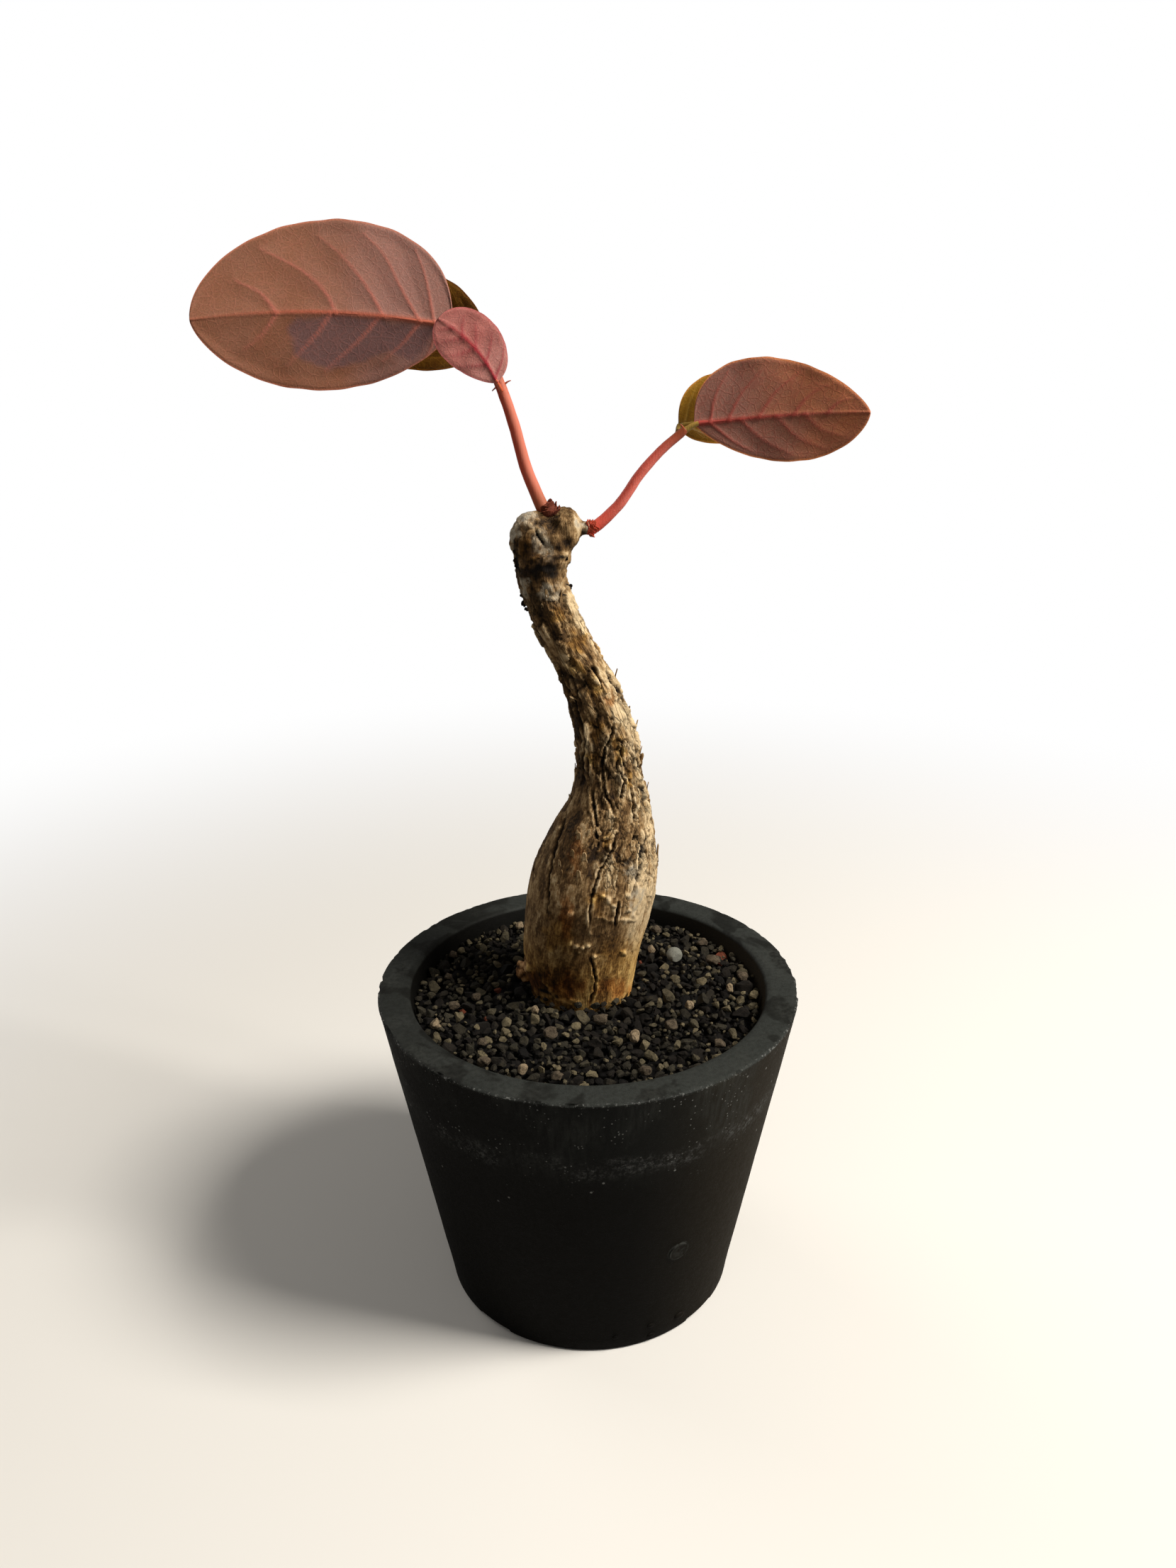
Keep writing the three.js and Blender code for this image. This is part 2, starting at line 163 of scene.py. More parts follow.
# The caudex: height, centre x, centre y and half width
TRUNK_STATIONS = [
    (44, -1.4, 6, 3.2), (52, -1.4, 6, 8), (66, -1.4, 6, 11.4), (80, -1.6, 6, 13.2),
    (91, -1.5, 5, 14.8), (107, 1, 3.2, 15.9), (116, 2.4, 3.2, 15), (125.5, 4.1, 3.5, 12.3),
    (131, 5.5, 3.8, 10.2), (138, 5.6, 4, 8.3), (149, 4.4, 3.5, 7.5), (161.5, 0.5, 2.8, 6.7),
    (175, -5.9, 1.8, 6.2), (186, -9.6, 0.8, 5.6), (192, -9.2, 0.4, 6.4),
]
TRUNK_DEPTH_RATIO = 0.96
TRUNK_FINE_FROM = 71.0
CROWN_KNOBS = [
    {"at": (-11.1, 0, 194.6), "half": (5.4, 5, 6.4)},
    {"at": (-4.3, 0.2, 196.8), "half": (3.8, 4.2, 5)},
    {"at": (-7.8, 0.6, 197.4), "half": (3.4, 3.4, 2.6)},
    {"at": (-6.9, 0.4, 191), "half": (3.8, 4.6, 4.5)},
    {"at": (-6.8, -1.0, 194.4), "half": (3.8, 3.6, 4.4)},
    {"at": (0.1, 0.7, 197.0), "half": (1.8, 1.6, 1.6)},
]
ROOT_STUB = [(-9, 6.5, 82, 3.4), (-13.6, 6.9, 82.7, 3.2), (-18.2, 7.2, 82.2, 2.1)]
ROOTS = [(15, 27, 3.2), (95, 22, 2.8), (165, 28, 3.4), (230, 24, 3.0), (300, 26, 3.1)]

# Bark features where the photograph shows them, in its pixels
FISSURES = [
    [(836, 940), (849, 963), (858, 975)],
    [(858, 942), (864, 960), (874, 976), (873, 993)],
    [(866, 1023), (864, 1036), (853, 1061), (848, 1077), (849, 1089), (851, 1111), (856, 1126),
     (864, 1136), (869, 1152)],
    [(870, 1176), (863, 1203), (845, 1232), (841, 1247), (834, 1262), (832, 1285), (832, 1312)],
    [(876, 1063), (882, 1082)],
    [(874, 1089), (881, 1102), (876, 1127)],
    [(879, 996), (889, 1016), (899, 1034)],
    [(902, 1069), (912, 1103), (919, 1134)],
    [(834, 1116), (836, 1136), (841, 1160), (842, 1197)],
    [(826, 1069), (829, 1096)],
    [(803, 956), (813, 980)],
    [(892, 1107), (896, 1160)],
    [(799, 1146), (782, 1201), (775, 1232), (773, 1255), (772, 1293)],
    [(906, 1192), (901, 1236), (893, 1262)],
    [(872, 1274), (868, 1306)],
    [(912, 1174), (912, 1190)],
    [(834, 1350), (840, 1379), (838, 1398), (832, 1416)],
    [(790, 962), (806, 988), (819, 1022), (826, 1045), (819, 1077), (824, 1108)],
    [(880, 1048), (876, 1066), (884, 1084)],
    [(755, 748), (770, 771)],
    [(808, 836), (821, 873)],
]
RIDGES = [
    [(842, 1295), (868, 1299), (895, 1297)],
    [(767, 1385), (777, 1396), (784, 1408), (807, 1417)],
    [(797, 1398), (804, 1410), (815, 1414)],
    [(829, 1282), (829, 1300), (834, 1318)],
]
WARTS = [
    (813, 1335, 5), (805, 1331, 3), (822, 1337, 4), (829, 1334, 4), (817, 1343, 3), (859, 1270, 6),
    (851, 1264, 4), (865, 1277, 4), (893, 1291, 5), (887, 1285, 4), (880, 1344, 5), (805, 1289, 5),
    (838, 1349, 4), (886, 1264, 4), (736, 1360, 8), (731, 1372, 8), (745, 1366, 6), (741, 1380, 6),
    (828, 745, 6),
]
# Patches of the bark by what they are: centre, half width, half height and lean in degrees
BARK_PATCHES = {
    "gold": [
        (748, 772, 15, 20, 0), (789, 868, 12, 9, -20), (816, 904, 10, 14, -20), (813, 943, 11, 14, -20),
        (838, 975, 8, 26, -15), (843, 1034, 8, 18, 0), (839, 1070, 8, 18, 0), (874, 1055, 9, 16, -10),
        (887, 1098, 6, 18, -5), (852, 1196, 6, 22, 10), (846, 1272, 14, 14, 0), (790, 1320, 24, 30, 0),
        (868, 1365, 30, 44, 0),
    ],
    "rust": [
        (859, 988, 9, 11, 0), (812, 1206, 8, 40, 8), (798, 1290, 9, 34, 4), (800, 1392, 22, 22, 0),
        (752, 1384, 20, 16, 0), (868, 1396, 24, 14, 0),
    ],
    "grey": [
        (797, 726, 8, 7, 0), (806, 746, 12, 12, 0), (752, 852, 16, 12, 0), (808, 882, 14, 8, 30),
        (851, 951, 8, 16, -25), (881, 1013, 8, 20, -20), (864, 1100, 13, 28, 0), (902, 1086, 9, 24, -10),
        (908, 1130, 11, 30, -5), (779, 1180, 8, 46, 22), (866, 1228, 16, 18, 0), (785, 1350, 12, 16, 0),
    ],
    "wax": [
        # The first two, on the crown's top-left edge and along its left outline, are partly waxy skin and
        # partly a painted highlight where the back light rims the crown
        (740, 730, 18, 12, 35), (724, 756, 6, 26, 8), (766, 762, 8, 24, -25), (813, 736, 8, 13, 0),
        (826, 746, 10, 9, 0), (774, 838, 15, 9, -10), (738, 828, 6, 14, -10), (898, 1268, 8, 22, 12),
        (893, 1232, 7, 14, 0),
    ],
    "dark": [
        # Two of these are painted shade, not darker bark: (775, 738) under the bud scales and (795, 772)
        # under the right knob
        (755, 790, 26, 6, 0), (775, 738, 12, 14, 0), (768, 722, 12, 7, 0), (795, 772, 13, 7, 0),
        (762, 807, 24, 11, 5), (788, 902, 12, 18, -20), (797, 985, 9, 40, -15), (812, 1030, 8, 34, -5),
        (822, 1090, 12, 24, 0), (806, 1180, 15, 44, 15), (836, 1216, 7, 50, 5), (836, 930, 12, 18, -20),
        (762, 1386, 40, 18, 0), (802, 1372, 8, 24, 0), (751, 768, 17, 22, 0),
    ],
    "black": [
        (770, 800, 14, 8, 5), (792, 789, 12, 5, 0), (804, 826, 4, 5, 0), (795, 841, 5, 5, 0),
        (757, 866, 8, 4, 0), (783, 850, 7, 3, 0), (770, 1396, 12, 8, 20), (727, 800, 6, 24, 0),
        (762, 806, 22, 7, 5), (732, 850, 5, 20, 15),
    ],
}
# The ring round the cut stub of the crown, in the photograph's pixels: centre, half width, half height
CUT_STUB = (748, 770, 19, 24)
# How rough the bark is at each height of the trunk
BARK_ROUGHNESS = {
    "heights": (74, 88, 100, 112, 124, 176, 184, 190, 202),
    "shares": (0.05, 0.1, 0.16, 0.34, 0.95, 1.0, 0.5, 0.2, 0.2),
}
# Flakes that stand off the outline: pixel, length in millimetres and turn from the trunk's own way.
# Above this row of pixels, at the neck, they are black, short and rolled.
BLACK_FLAKES_ABOVE = 880
OUTLINE_FLAKES = [
    (868, 955, 3.4, -8), (897, 1028, 3.6, -6), (927, 1206, 4.6, 0), (919, 1110, 2.6, 0),
    (726, 778, 1.0, 0), (728, 790, 1.2, 0), (729, 797, 1.0, 0), (733, 842, 1.0, 0), (738, 854, 1.3, 0),
    (742, 862, 1.1, 0), (798, 788, 1.2, 0), (802, 794, 1.0, 0), (808, 826, 1.2, 0),
    (806, 985, 2.4, 10), (811, 1085, 2.2, 5),
]

# The two young shoots. radii: from foot to tip. coat: the heights of foot and top, and how far below the
# top its colour sets in. collar: its radius, the length of its scales, and its shift from the foot.
LEFT_SHOOT = {
    "path": [(-8.6, 0.9, 200.2), (-10.3, 0.8, 204), (-12.7, 0.3, 210.4), (-14.6, -0.2, 218),
             (-16.6, -0.8, 224.6), (-19.2, -0.9, 231), (-22.9, -0.5, 235.6), (-23.8, -0.4, 236.4)],
    "radii": [(1.5,), (1.22,), (1.0,)],
    "coat": (201.5, 234.5, 12),
    "collar": (2.4, 1.45, (0.9, -0.3, 0.2)),
}
RIGHT_SHOOT = {
    "path": [(1.3, 0.9, 196.7), (2.6, 0.9, 197.4), (4.9, 0.9, 199.3), (8.2, 0.7, 202.8), (12, 0.5, 208.4),
             (16.5, 0.3, 213.4), (20.6, 0.2, 216.9), (21.6, 0.2, 217.8)],
    "radii": [(1.4,), (1.2,), (1.02,), (0.85,)],
    "coat": (196, 217.5, 6),
    "collar": (1.65, 1.2, (-0.1, -0.1, 0.1)),
}
STALK_COAT = (200, 260, 11)
# The rows of scales in a collar: how many, their distance out and their rise as shares, and their lean
COLLAR_ROWS = [(7, 1.0, -0.6, 14), (7, 0.95, -0.2, 8), (6, 0.86, 0.25, 2), (5, 0.74, 0.65, -4)]
STIPULES = [
    {"foot": (-17.6, -0.9, 226.9), "tip": (-19.2, -1.2, 225.9)},
    {"foot": (-16.7, -0.9, 227.1), "tip": (-15.2, -1.3, 228.0)},
    {"foot": (21.4, 0.1, 217.5), "tip": (20.4, -0.3, 218.9)},
]

LEAF_THICKNESS = 0.34
# Blades up to this long are young, with a thin midrib and stalk
YOUNG_BLADE = 25
# How a stalk thins out along the blade: share of the blade's length, share of the stalk's radius
STALK_TAPER = ((0.015, 0.78), (0.12, 0.52), (0.3, 0.36), (0.5, 0.22))
# The painted shadow of the far leaf on the large leaf, its outline along and across the blade
FAR_LEAF_SHADOW_OUTLINE = [
    (33.9, -3.6), (32.6, -8.4), (28.8, -10.8), (24.9, -11.0), (20.9, -10.1), (16.8, -8.1), (12.9, -7.0),
    (7.9, -8.8), (3.8, -3.3), (3.4, -0.6), (15.6, -0.4), (25.4, -0.4), (31.3, -1.2), (33.9, -3.6),
]

# The leaves. Lengths are in millimetres, along and across a blade from the foot of its midrib.
# base, tip: the ends of the midrib. stalk: where the stalk leaves the shoot. facing: which way it faces.
# rise, bow: how far the midrib curves up and out. fold: how far the two halves fold back, in degrees.
# upper, lower: the half width above and below the midrib, and how full it is at its base and tip.
# blush: how far the base tint reaches above and below the midrib, as a share of the length.
# quilt: depth of the quilting. under: 1 if the underside faces the front. veins: from the midrib outwards.
LEAVES = {
    "left_large_leaf": {
        "base": (-26.9, 0, 238.5), "tip": (-78.2, -10, 240.4), "stalk": (-23.3, -0.4, 236.1),
        "facing": (-0.15, -1, 0.1), "rise": 2.3, "bow": -2, "fold": 8,
        "upper": (18.2, 0.32, 0.5), "lower": (15.3, 0.76, 0.68), "blush": (0.62, 0.5),
        "quilt": 0.24, "far_leaf_shadow": FAR_LEAF_SHADOW_OUTLINE, "under": 1, "slot": "leaf_underside",
        "veins": [
            [(3.8, 0), (5.2, 8.6), (7.2, 14.2)], [(6.8, 0), (10.5, 6.3), (13.3, 11.8), (17.5, 15.9)],
            [(14, 0), (17.3, 5.6), (21.5, 10.6), (26.2, 14.6)],
            [(23.7, 0), (25.7, 4.1), (29.9, 7.9), (37.9, 12.2)], [(35.5, 0), (38.3, 3.7), (43.2, 6.5)],
            [(3.2, 0), (4.4, -4.6), (6.4, -8.2)], [(6.6, 0), (10.3, -4.8), (14.4, -8.8)],
            [(14.8, 0), (19.3, -5.2), (26.4, -11.4)], [(24.6, 0), (28.0, -4.6), (33.8, -10.2)],
            [(35.2, 0), (38.3, -3.9), (42.4, -6.9)],
        ],
    },
    "left_far_leaf": {
        "base": (-20, 3, 233), "tip": (-58.8, 9, 241.2), "stalk": (-19.3, 0.6, 231.6),
        "facing": (-0.1, -1, 0.1), "rise": 1, "bow": -1.5, "fold": -10,
        "upper": (12.6, 0.55, 0.85), "lower": (7.7, 0.95, 1.1), "blush": (0.4, 0.4),
        "quilt": 0.3, "under": 0, "slot": "leaf_olive",
        "veins": [
            [(2.6, 0), (4.5, 5), (7.5, 9)], [(8, 0), (11.5, 5), (16, 9.4)],
            [(15, 0), (19, 4.6), (24, 8)], [(23, 0), (27, 3.4), (31, 5)],
            [(3, 0), (7, -2.4), (13, -4.4)], [(11, 0), (15, -2.8), (21, -5)],
            [(19, 0), (23.5, -2.6), (29, -3.6)],
        ],
    },
    "left_small_leaf": {
        "base": (-17.9, -4, 227.7), "tip": (-29, -9, 240.3), "stalk": (-17.1, -2.5, 226),
        "facing": (0, -1, 0.2), "rise": 1.5, "bow": -1, "fold": 2,
        "upper": (6.2, 0.33, 0.35), "lower": (5.9, 0.82, 0.59), "blush": (0.5, 0.5),
        "quilt": 0.15, "under": 1, "slot": "leaf_pink",
        "veins": [
            [(1, 0), (2.3, 3.1), (4.3, 5.4)], [(4.4, 0), (5.8, 2.4), (7.7, 4.9)],
            [(7.8, 0), (9.3, 1.7), (11.1, 3.4)], [(11.6, 0), (13, 1.6), (14.2, 3.4)],
            [(8, 0), (9.4, -3.2), (11.1, -5.1)], [(10.8, 0), (12.5, -2), (14.2, -4.3)],
            [(4, 0), (5.6, -2.4), (7.4, -4.6)], [(14, 0), (15.2, -1), (16, -1.9)],
        ],
    },
    "right_near_leaf": {
        "base": (23.4, 0, 218.8), "tip": (59.2, -7, 221.6), "stalk": (21.1, 0.1, 217.3),
        "facing": (0.12, -1, 0.15), "rise": 0.6, "bow": -1, "fold": 3,
        "upper": (12.2, 0.38, 0.72), "lower": (9.5, 0.84, 0.64), "blush": (0.66, 1.0),
        "quilt": 0.16, "under": 1, "slot": "leaf_underside",
        "veins": [
            [(3.4, 0), (4.6, 5.1), (7.3, 9.8)], [(7.2, 0), (9.8, 4.7), (14.2, 9.4)],
            [(13.5, 0), (16.9, 4.5), (22, 8.4)], [(20.8, 0), (23.9, 3.6), (28, 5.7)],
            [(27.8, 0), (29.9, 2), (32.4, 2.8)], [(3.2, 0), (8.1, -4.4), (12, -6.8)],
            [(9.6, 0), (14.6, -4.8), (20.6, -8.2)], [(17.2, 0), (21.7, -4.6), (27.4, -7.2)],
            [(23, 0), (26.5, -3.1), (30.9, -4.7)],
        ],
    },
    "right_far_leaf": {
        "base": (20.3, 3, 218.3), "tip": (48, 8, 220.3), "stalk": (20.2, 1.4, 217.2),
        "facing": (0.1, -1, 0.1), "rise": 0.5, "bow": -1, "fold": -8,
        "upper": (9.8, 0.36, 0.6), "lower": (5.2, 0.6, 0.95), "blush": (0.4, 0.4),
        "quilt": 0.2, "under": 0, "slot": "leaf_olive",
        "veins": [
            [(1.6, 0), (2.6, 4), (4.6, 7.8)], [(5.5, 0), (8, 4), (12, 7.8)],
            [(11, 0), (14, 4), (18, 6.6)], [(2, 0), (5, -2), (9, -3.6)],
            [(8, 0), (11.5, -2.4), (16, -4)],
        ],
    },
}


# Node trees


class Wiring:
    """Adds nodes to one shader tree and joins them up."""

    def __init__(self, tree):
        self.tree = tree

    def add(self, kind, inputs=None, **options):
        node = self.tree.nodes.new("ShaderNode" + kind)
        for option, value in options.items():
            setattr(node, option, value)
        for socket, value in (inputs or {}).items():
            self.feed(node.inputs[socket], value)
        return node

    def feed(self, socket, value):
        if isinstance(value, bpy.types.NodeSocket):
            self.tree.links.new(value, socket)
        else:
            socket.default_value = value

    def place(self):
        """Where a point lies on the finished piece, in metres."""
        return self.add("TexCoord").outputs["Object"]

    def value(self, name):
        return self.add("Attribute", attribute_name=name).outputs["Fac"]

    def vector(self, name):
        return self.add("Attribute", attribute_name=name).outputs["Vector"]

    def maths(self, operation, first, second=0.0):
        return self.add("Math", {0: first, 1: second}, operation=operation).outputs[0]

    def plus(self, first, second):
        return self.maths("ADD", first, second)

    def minus(self, first, second):
        return self.maths("SUBTRACT", first, second)

    def times(self, product, *factors):
        for factor in factors:
            product = self.maths("MULTIPLY", product, factor)
        return product

    def swing(self, value, reach):
        """A value from 0 to 1 as a swing about zero."""
        return self.times(self.minus(value, 0.5), reach)

    def spread(self, value, low, high, start=0.0, end=1.0):
        """A value eased from start at low to end at high."""
        inputs = {"Value": value, "From Min": low, "From Max": high, "To Min": start, "To Max": end}
        return self.add("MapRange", inputs, interpolation_type="SMOOTHSTEP").outputs["Result"]

    def mix(self, share, first, second, blend_type="MIX"):
        node = self.add("Mix", {0: share, 6: first, 7: second}, data_type="RGBA", blend_type=blend_type)
        return node.outputs[2]

    def noise(self, vector, size_mm, detail=2.0, roughness=0.5, distortion=0.0):
        inputs = {
            "Vector": vector, "Scale": 1 / (size_mm * MM), "Detail": detail, "Roughness": roughness,
            "Distortion": distortion,
        }
        return self.add("TexNoise", inputs).outputs["Fac"]

    def ramp(self, value, stops):
        node = self.add("ValToRGB", {0: value})
        elements = node.color_ramp.elements
        while len(elements) < len(stops):
            elements.new(1.0)
        for element, (place, colour) in zip(elements, stops):
            element.position = place
            element.color = colour
        return node.outputs["Color"]

    def effect(self, name, vector, **inputs):
        """Places one of the shared effects and hands back its outputs."""
        node = self.tree.nodes.new("ShaderNodeGroup")
        node.node_tree = EFFECTS[name]()
        self.feed(node.inputs["Vector"], vector)
        for socket, value in inputs.items():
            self.feed(node.inputs[socket], value)
        return node.outputs


def effect_tree(name, outputs, **inputs):
    """An empty shared effect that takes a vector, numbers and colours, and its two end nodes."""
    tree = bpy.data.node_groups.new(name, "ShaderNodeTree")
    tree.interface.new_socket(name="Vector", in_out="INPUT", socket_type="NodeSocketVector")
    for label, default in inputs.items():
        kind = "NodeSocketFloat" if isinstance(default, float) else "NodeSocketColor"
        tree.interface.new_socket(name=label, in_out="INPUT", socket_type=kind).default_value = default
    for label in outputs:
        kind = "NodeSocketColor" if label == "Color" else "NodeSocketFloat"
        tree.interface.new_socket(name=label, in_out="OUTPUT", socket_type=kind)
    start = tree.nodes.new("NodeGroupInput")
    end = tree.nodes.new("NodeGroupOutput")
    return Wiring(tree), start.outputs, end.inputs


@cache
def mineral_grain():
    """Mottled rough stone or unglazed clay: two colours, and a height with fine pits."""
    w, given, out = effect_tree(
        "Mineral grain", ["Color", "Height"], Size=0.001, Dark=(0, 0, 0, 1), Light=(1, 1, 1, 1)
    )
    scale = w.maths("DIVIDE", 1.0, given["Size"])
    broad = w.add("TexNoise", {"Vector": given["Vector"], "Scale": scale, "Detail": 4.0, "Roughness": 0.65})
    fine_scale = w.times(scale, 4.3)
    pits = w.add("TexVoronoi", {"Vector": given["Vector"], "Scale": fine_scale, "Randomness": 1.0})
    hollow = w.spread(pits.outputs["Distance"], 0.05, 0.45)
    height = w.plus(w.times(broad.outputs["Fac"], 0.7), w.times(hollow, 0.3))
    share = w.spread(height, 0.35, 0.8)
    w.feed(out["Color"], w.mix(share, given["Dark"], given["Light"]))
    w.feed(out["Height"], height)
    return w.tree


@cache
def fibre():
    """Fine strands along the third axis of the vector, as a mask that is also a height."""
    w, given, out = effect_tree("Fibre", ["Mask"], Width=0.0004, Length=0.004)
    size = w.add("CombineXYZ", {0: given["Width"], 1: given["Width"], 2: given["Length"]}).outputs[0]
    drawn = w.add("VectorMath", {0: given["Vector"], 1: size}, operation="DIVIDE").outputs[0]
    strands = w.add("TexNoise", {"Vector": drawn, "Scale": 1.0, "Detail": 3.0, "Roughness": 0.6})
    w.feed(out["Mask"], w.spread(strands.outputs["Fac"], 0.3, 0.7))
    return w.tree


@cache
def specks():
    """Scattered small spots: Share of the cells hold one, Reach is how much of a cell it fills."""
    w, given, out = effect_tree("Specks", ["Mask"], Spacing=0.001, Share=0.2, Reach=0.3)
    scale = w.maths("DIVIDE", 1.0, given["Spacing"])
    cells = w.add("TexVoronoi", {"Vector": given["Vector"], "Scale": scale, "Randomness": 1.0})
    chance = w.add("SeparateColor", {0: cells.outputs["Color"]}).outputs[0]
    chosen = w.maths("LESS_THAN", chance, given["Share"])
    half = w.times(given["Reach"], 0.5)
    spot = w.spread(cells.outputs["Distance"], half, given["Reach"], 1.0, 0.0)
    w.feed(out["Mask"], w.times(chosen, spot))
    return w.tree


@cache
def vein_net():
    """The fine net of small veins between a leaf's side veins."""
    w, given, out = effect_tree("Vein net", ["Mask"], Cell=0.002)
    scale = w.maths("DIVIDE", 1.0, given["Cell"])
    bent = w.add("TexNoise", {"Vector": given["Vector"], "Scale": scale, "Detail": 2.0})
    pushed = w.add(
        "VectorMath", {0: bent.outputs["Color"], 1: (0.0009, 0.0009, 0.0)}, operation="MULTIPLY"
    ).outputs[0]
    moved = w.add("VectorMath", {0: given["Vector"], 1: pushed}, operation="ADD").outputs[0]
    large = w.add("TexVoronoi", {"Vector": moved, "Scale": scale}, feature="DISTANCE_TO_EDGE")
    small = w.add(
        "TexVoronoi", {"Vector": moved, "Scale": w.times(scale, 2.6)}, feature="DISTANCE_TO_EDGE"
    )
    first = w.spread(large.outputs["Distance"], 0.0, 0.12, 1.0, 0.0)
    second = w.spread(small.outputs["Distance"], 0.0, 0.16, 0.45, 0.0)
    w.feed(out["Mask"], w.maths("MAXIMUM", first, second))
    return w.tree


@cache
def fine_cracks():
    """Thin cracks between drawn-out cells, longer along the third axis and broken up here and there."""
    w, given, out = effect_tree("Fine cracks", ["Mask"], Width=0.001, Length=0.004)
    size = w.add("CombineXYZ", {0: given["Width"], 1: given["Width"], 2: given["Length"]}).outputs[0]
    drawn = w.add("VectorMath", {0: given["Vector"], 1: size}, operation="DIVIDE").outputs[0]
    bend = w.add("TexNoise", {"Vector": drawn, "Scale": 0.7, "Detail": 3.0, "Roughness": 0.6})
    push = {0: bend.outputs["Color"], 1: (1.1, 1.1, 1.1), 2: drawn}
    bent = w.add("VectorMath", push, operation="MULTIPLY_ADD").outputs[0]
    cells_found = w.add("TexVoronoi", {"Vector": bent, "Scale": 1.0}, feature="DISTANCE_TO_EDGE")
    line = w.spread(cells_found.outputs["Distance"], 0.0, 0.11, 1.0, 0.0)
    broken = w.add("TexNoise", {"Vector": drawn, "Scale": 0.45, "Detail": 2.0}).outputs["Fac"]
    w.feed(out["Mask"], w.times(line, w.spread(broken, 0.38, 0.58)))
    return w.tree


EFFECTS = {
    "grain": mineral_grain, "fibre": fibre, "specks": specks, "net": vein_net, "cracks": fine_cracks,
}


def coating(name, **fixed):
    """A new material with its Principled shader's plain sockets set."""
    material = bpy.data.materials.new(name)
    material.use_nodes = True
    shader = material.node_tree.nodes["Principled BSDF"]
    for socket, value in fixed.items():
        shader.inputs[socket.replace("_", " ")].default_value = value
    return material, Wiring(material.node_tree), shader.inputs


def relief(w, shader, height, depth_mm, strength=1.0):
    bump = w.add("Bump", {"Height": height, "Distance": depth_mm * MM, "Strength": strength})
    w.feed(shader["Normal"], bump.outputs[0])


def clay_span(w, at, name, start=0.0, end=1.0):
    axis, low, high = CLAY_SPANS[name]
    return w.spread(at[axis], low * MM, high * MM, start, end)


def clay_ground(w, at, wall, on_rim, settings):
    """The wall's own tones, handled above and with painted light on its right flank, and the stained rim
    with painted shade on its left.
    """
    handled = w.times(clay_span(w, at, "handled", 0.0, 0.7), clay_span(w, at, "handled_side"))
    handled_and_lit_wall = w.mix(handled, wall["Color"], settings.handled_colour)
    # Painted light: the right flank of the wall is lighter where light falls on it
    handled_and_lit_wall = w.mix(clay_span(w, at, "lit_flank_side", 0.0, 0.75), handled_and_lit_wall, settings.lit_flank_colour)
    rim = w.effect("grain", at["place"], Size=0.0012, Dark=settings.rim_colour, Light=settings.rim_light)
    stain = w.times(w.spread(w.noise(at["place"], 15.0, 3.0, 0.5, 0.6), 0.5, 0.56), 0.65)
    stained = w.mix(stain, rim["Color"], settings.wall_light)
    # Painted shade: the rim is darkened on its left side, away from the key light
    stained = w.mix(clay_span(w, at, "shaded_left_rim", 0.45, 0.0), stained, settings.wall_light)
    return w.mix(on_rim, handled_and_lit_wall, stained)


def scuffed_band(w, at, outside):
    """A torn pale band that wanders a little round the wall."""
    place = at["place"]
    wander = w.swing(w.noise(place, 9.0, 2.0), SCUFF_WANDER * MM)
    level = w.maths("ABSOLUTE", w.minus(w.plus(at["height"], wander), SCUFF_HEIGHT * MM))
    band = w.spread(level, 0.0003, 0.0042, 1.0, 0.0)
    torn = w.spread(w.noise(place, 1.1, 5.0, 0.8), 0.45, 0.66)
    here = w.spread(w.noise(place, 11.0, 3.0), 0.4, 0.58, 0.15, 1.0)
    return w.times(band, torn, outside, here)


def mould_print(w, at, size):
    """The pale ring and dish of the round mould mark."""
    angle = math.radians(MOULD_MARK["turn"])
    radius = wall_radius(size, MOULD_MARK["height"])
    centre = Vector((math.sin(angle) * radius, -math.cos(angle) * radius, MOULD_MARK["height"])) * MM
    away = w.add("VectorMath", {0: at["place"], 1: centre}, operation="DISTANCE").outputs["Value"]
    off_ring = w.maths("ABSOLUTE", w.minus(away, MOULD_MARK["radius"] * MM))
    ring = w.times(w.spread(off_ring, 0.0001, 0.0007, 1.0, 0.0), 0.75)
    mark = w.maths("MAXIMUM", ring, w.spread(away, 0.0012, 0.0026, 0.4, 0.0))
    return w.times(mark, w.spread(w.noise(at["place"], 1.4, 3.0), 0.36, 0.6))


def mineral_specks(w, at, shown):
    """Fine specks in patches high on the wall, and a few larger spots lower down."""
    place = at["place"]
    fine = w.effect("specks", place, Spacing=0.0008, Share=0.3, Reach=0.3)["Mask"]
    patchy = w.spread(w.noise(place, 7.0, 3.0), 0.46, 0.64)
    fine = w.times(fine, clay_span(w, at, "specks"), patchy)
    spots = w.effect("specks", place, Spacing=0.0027, Share=0.22, Reach=0.15)["Mask"]
    return w.times(w.maths("MAXIMUM", fine, w.times(spots, clay_span(w, at, "spots"))), shown, 0.6)


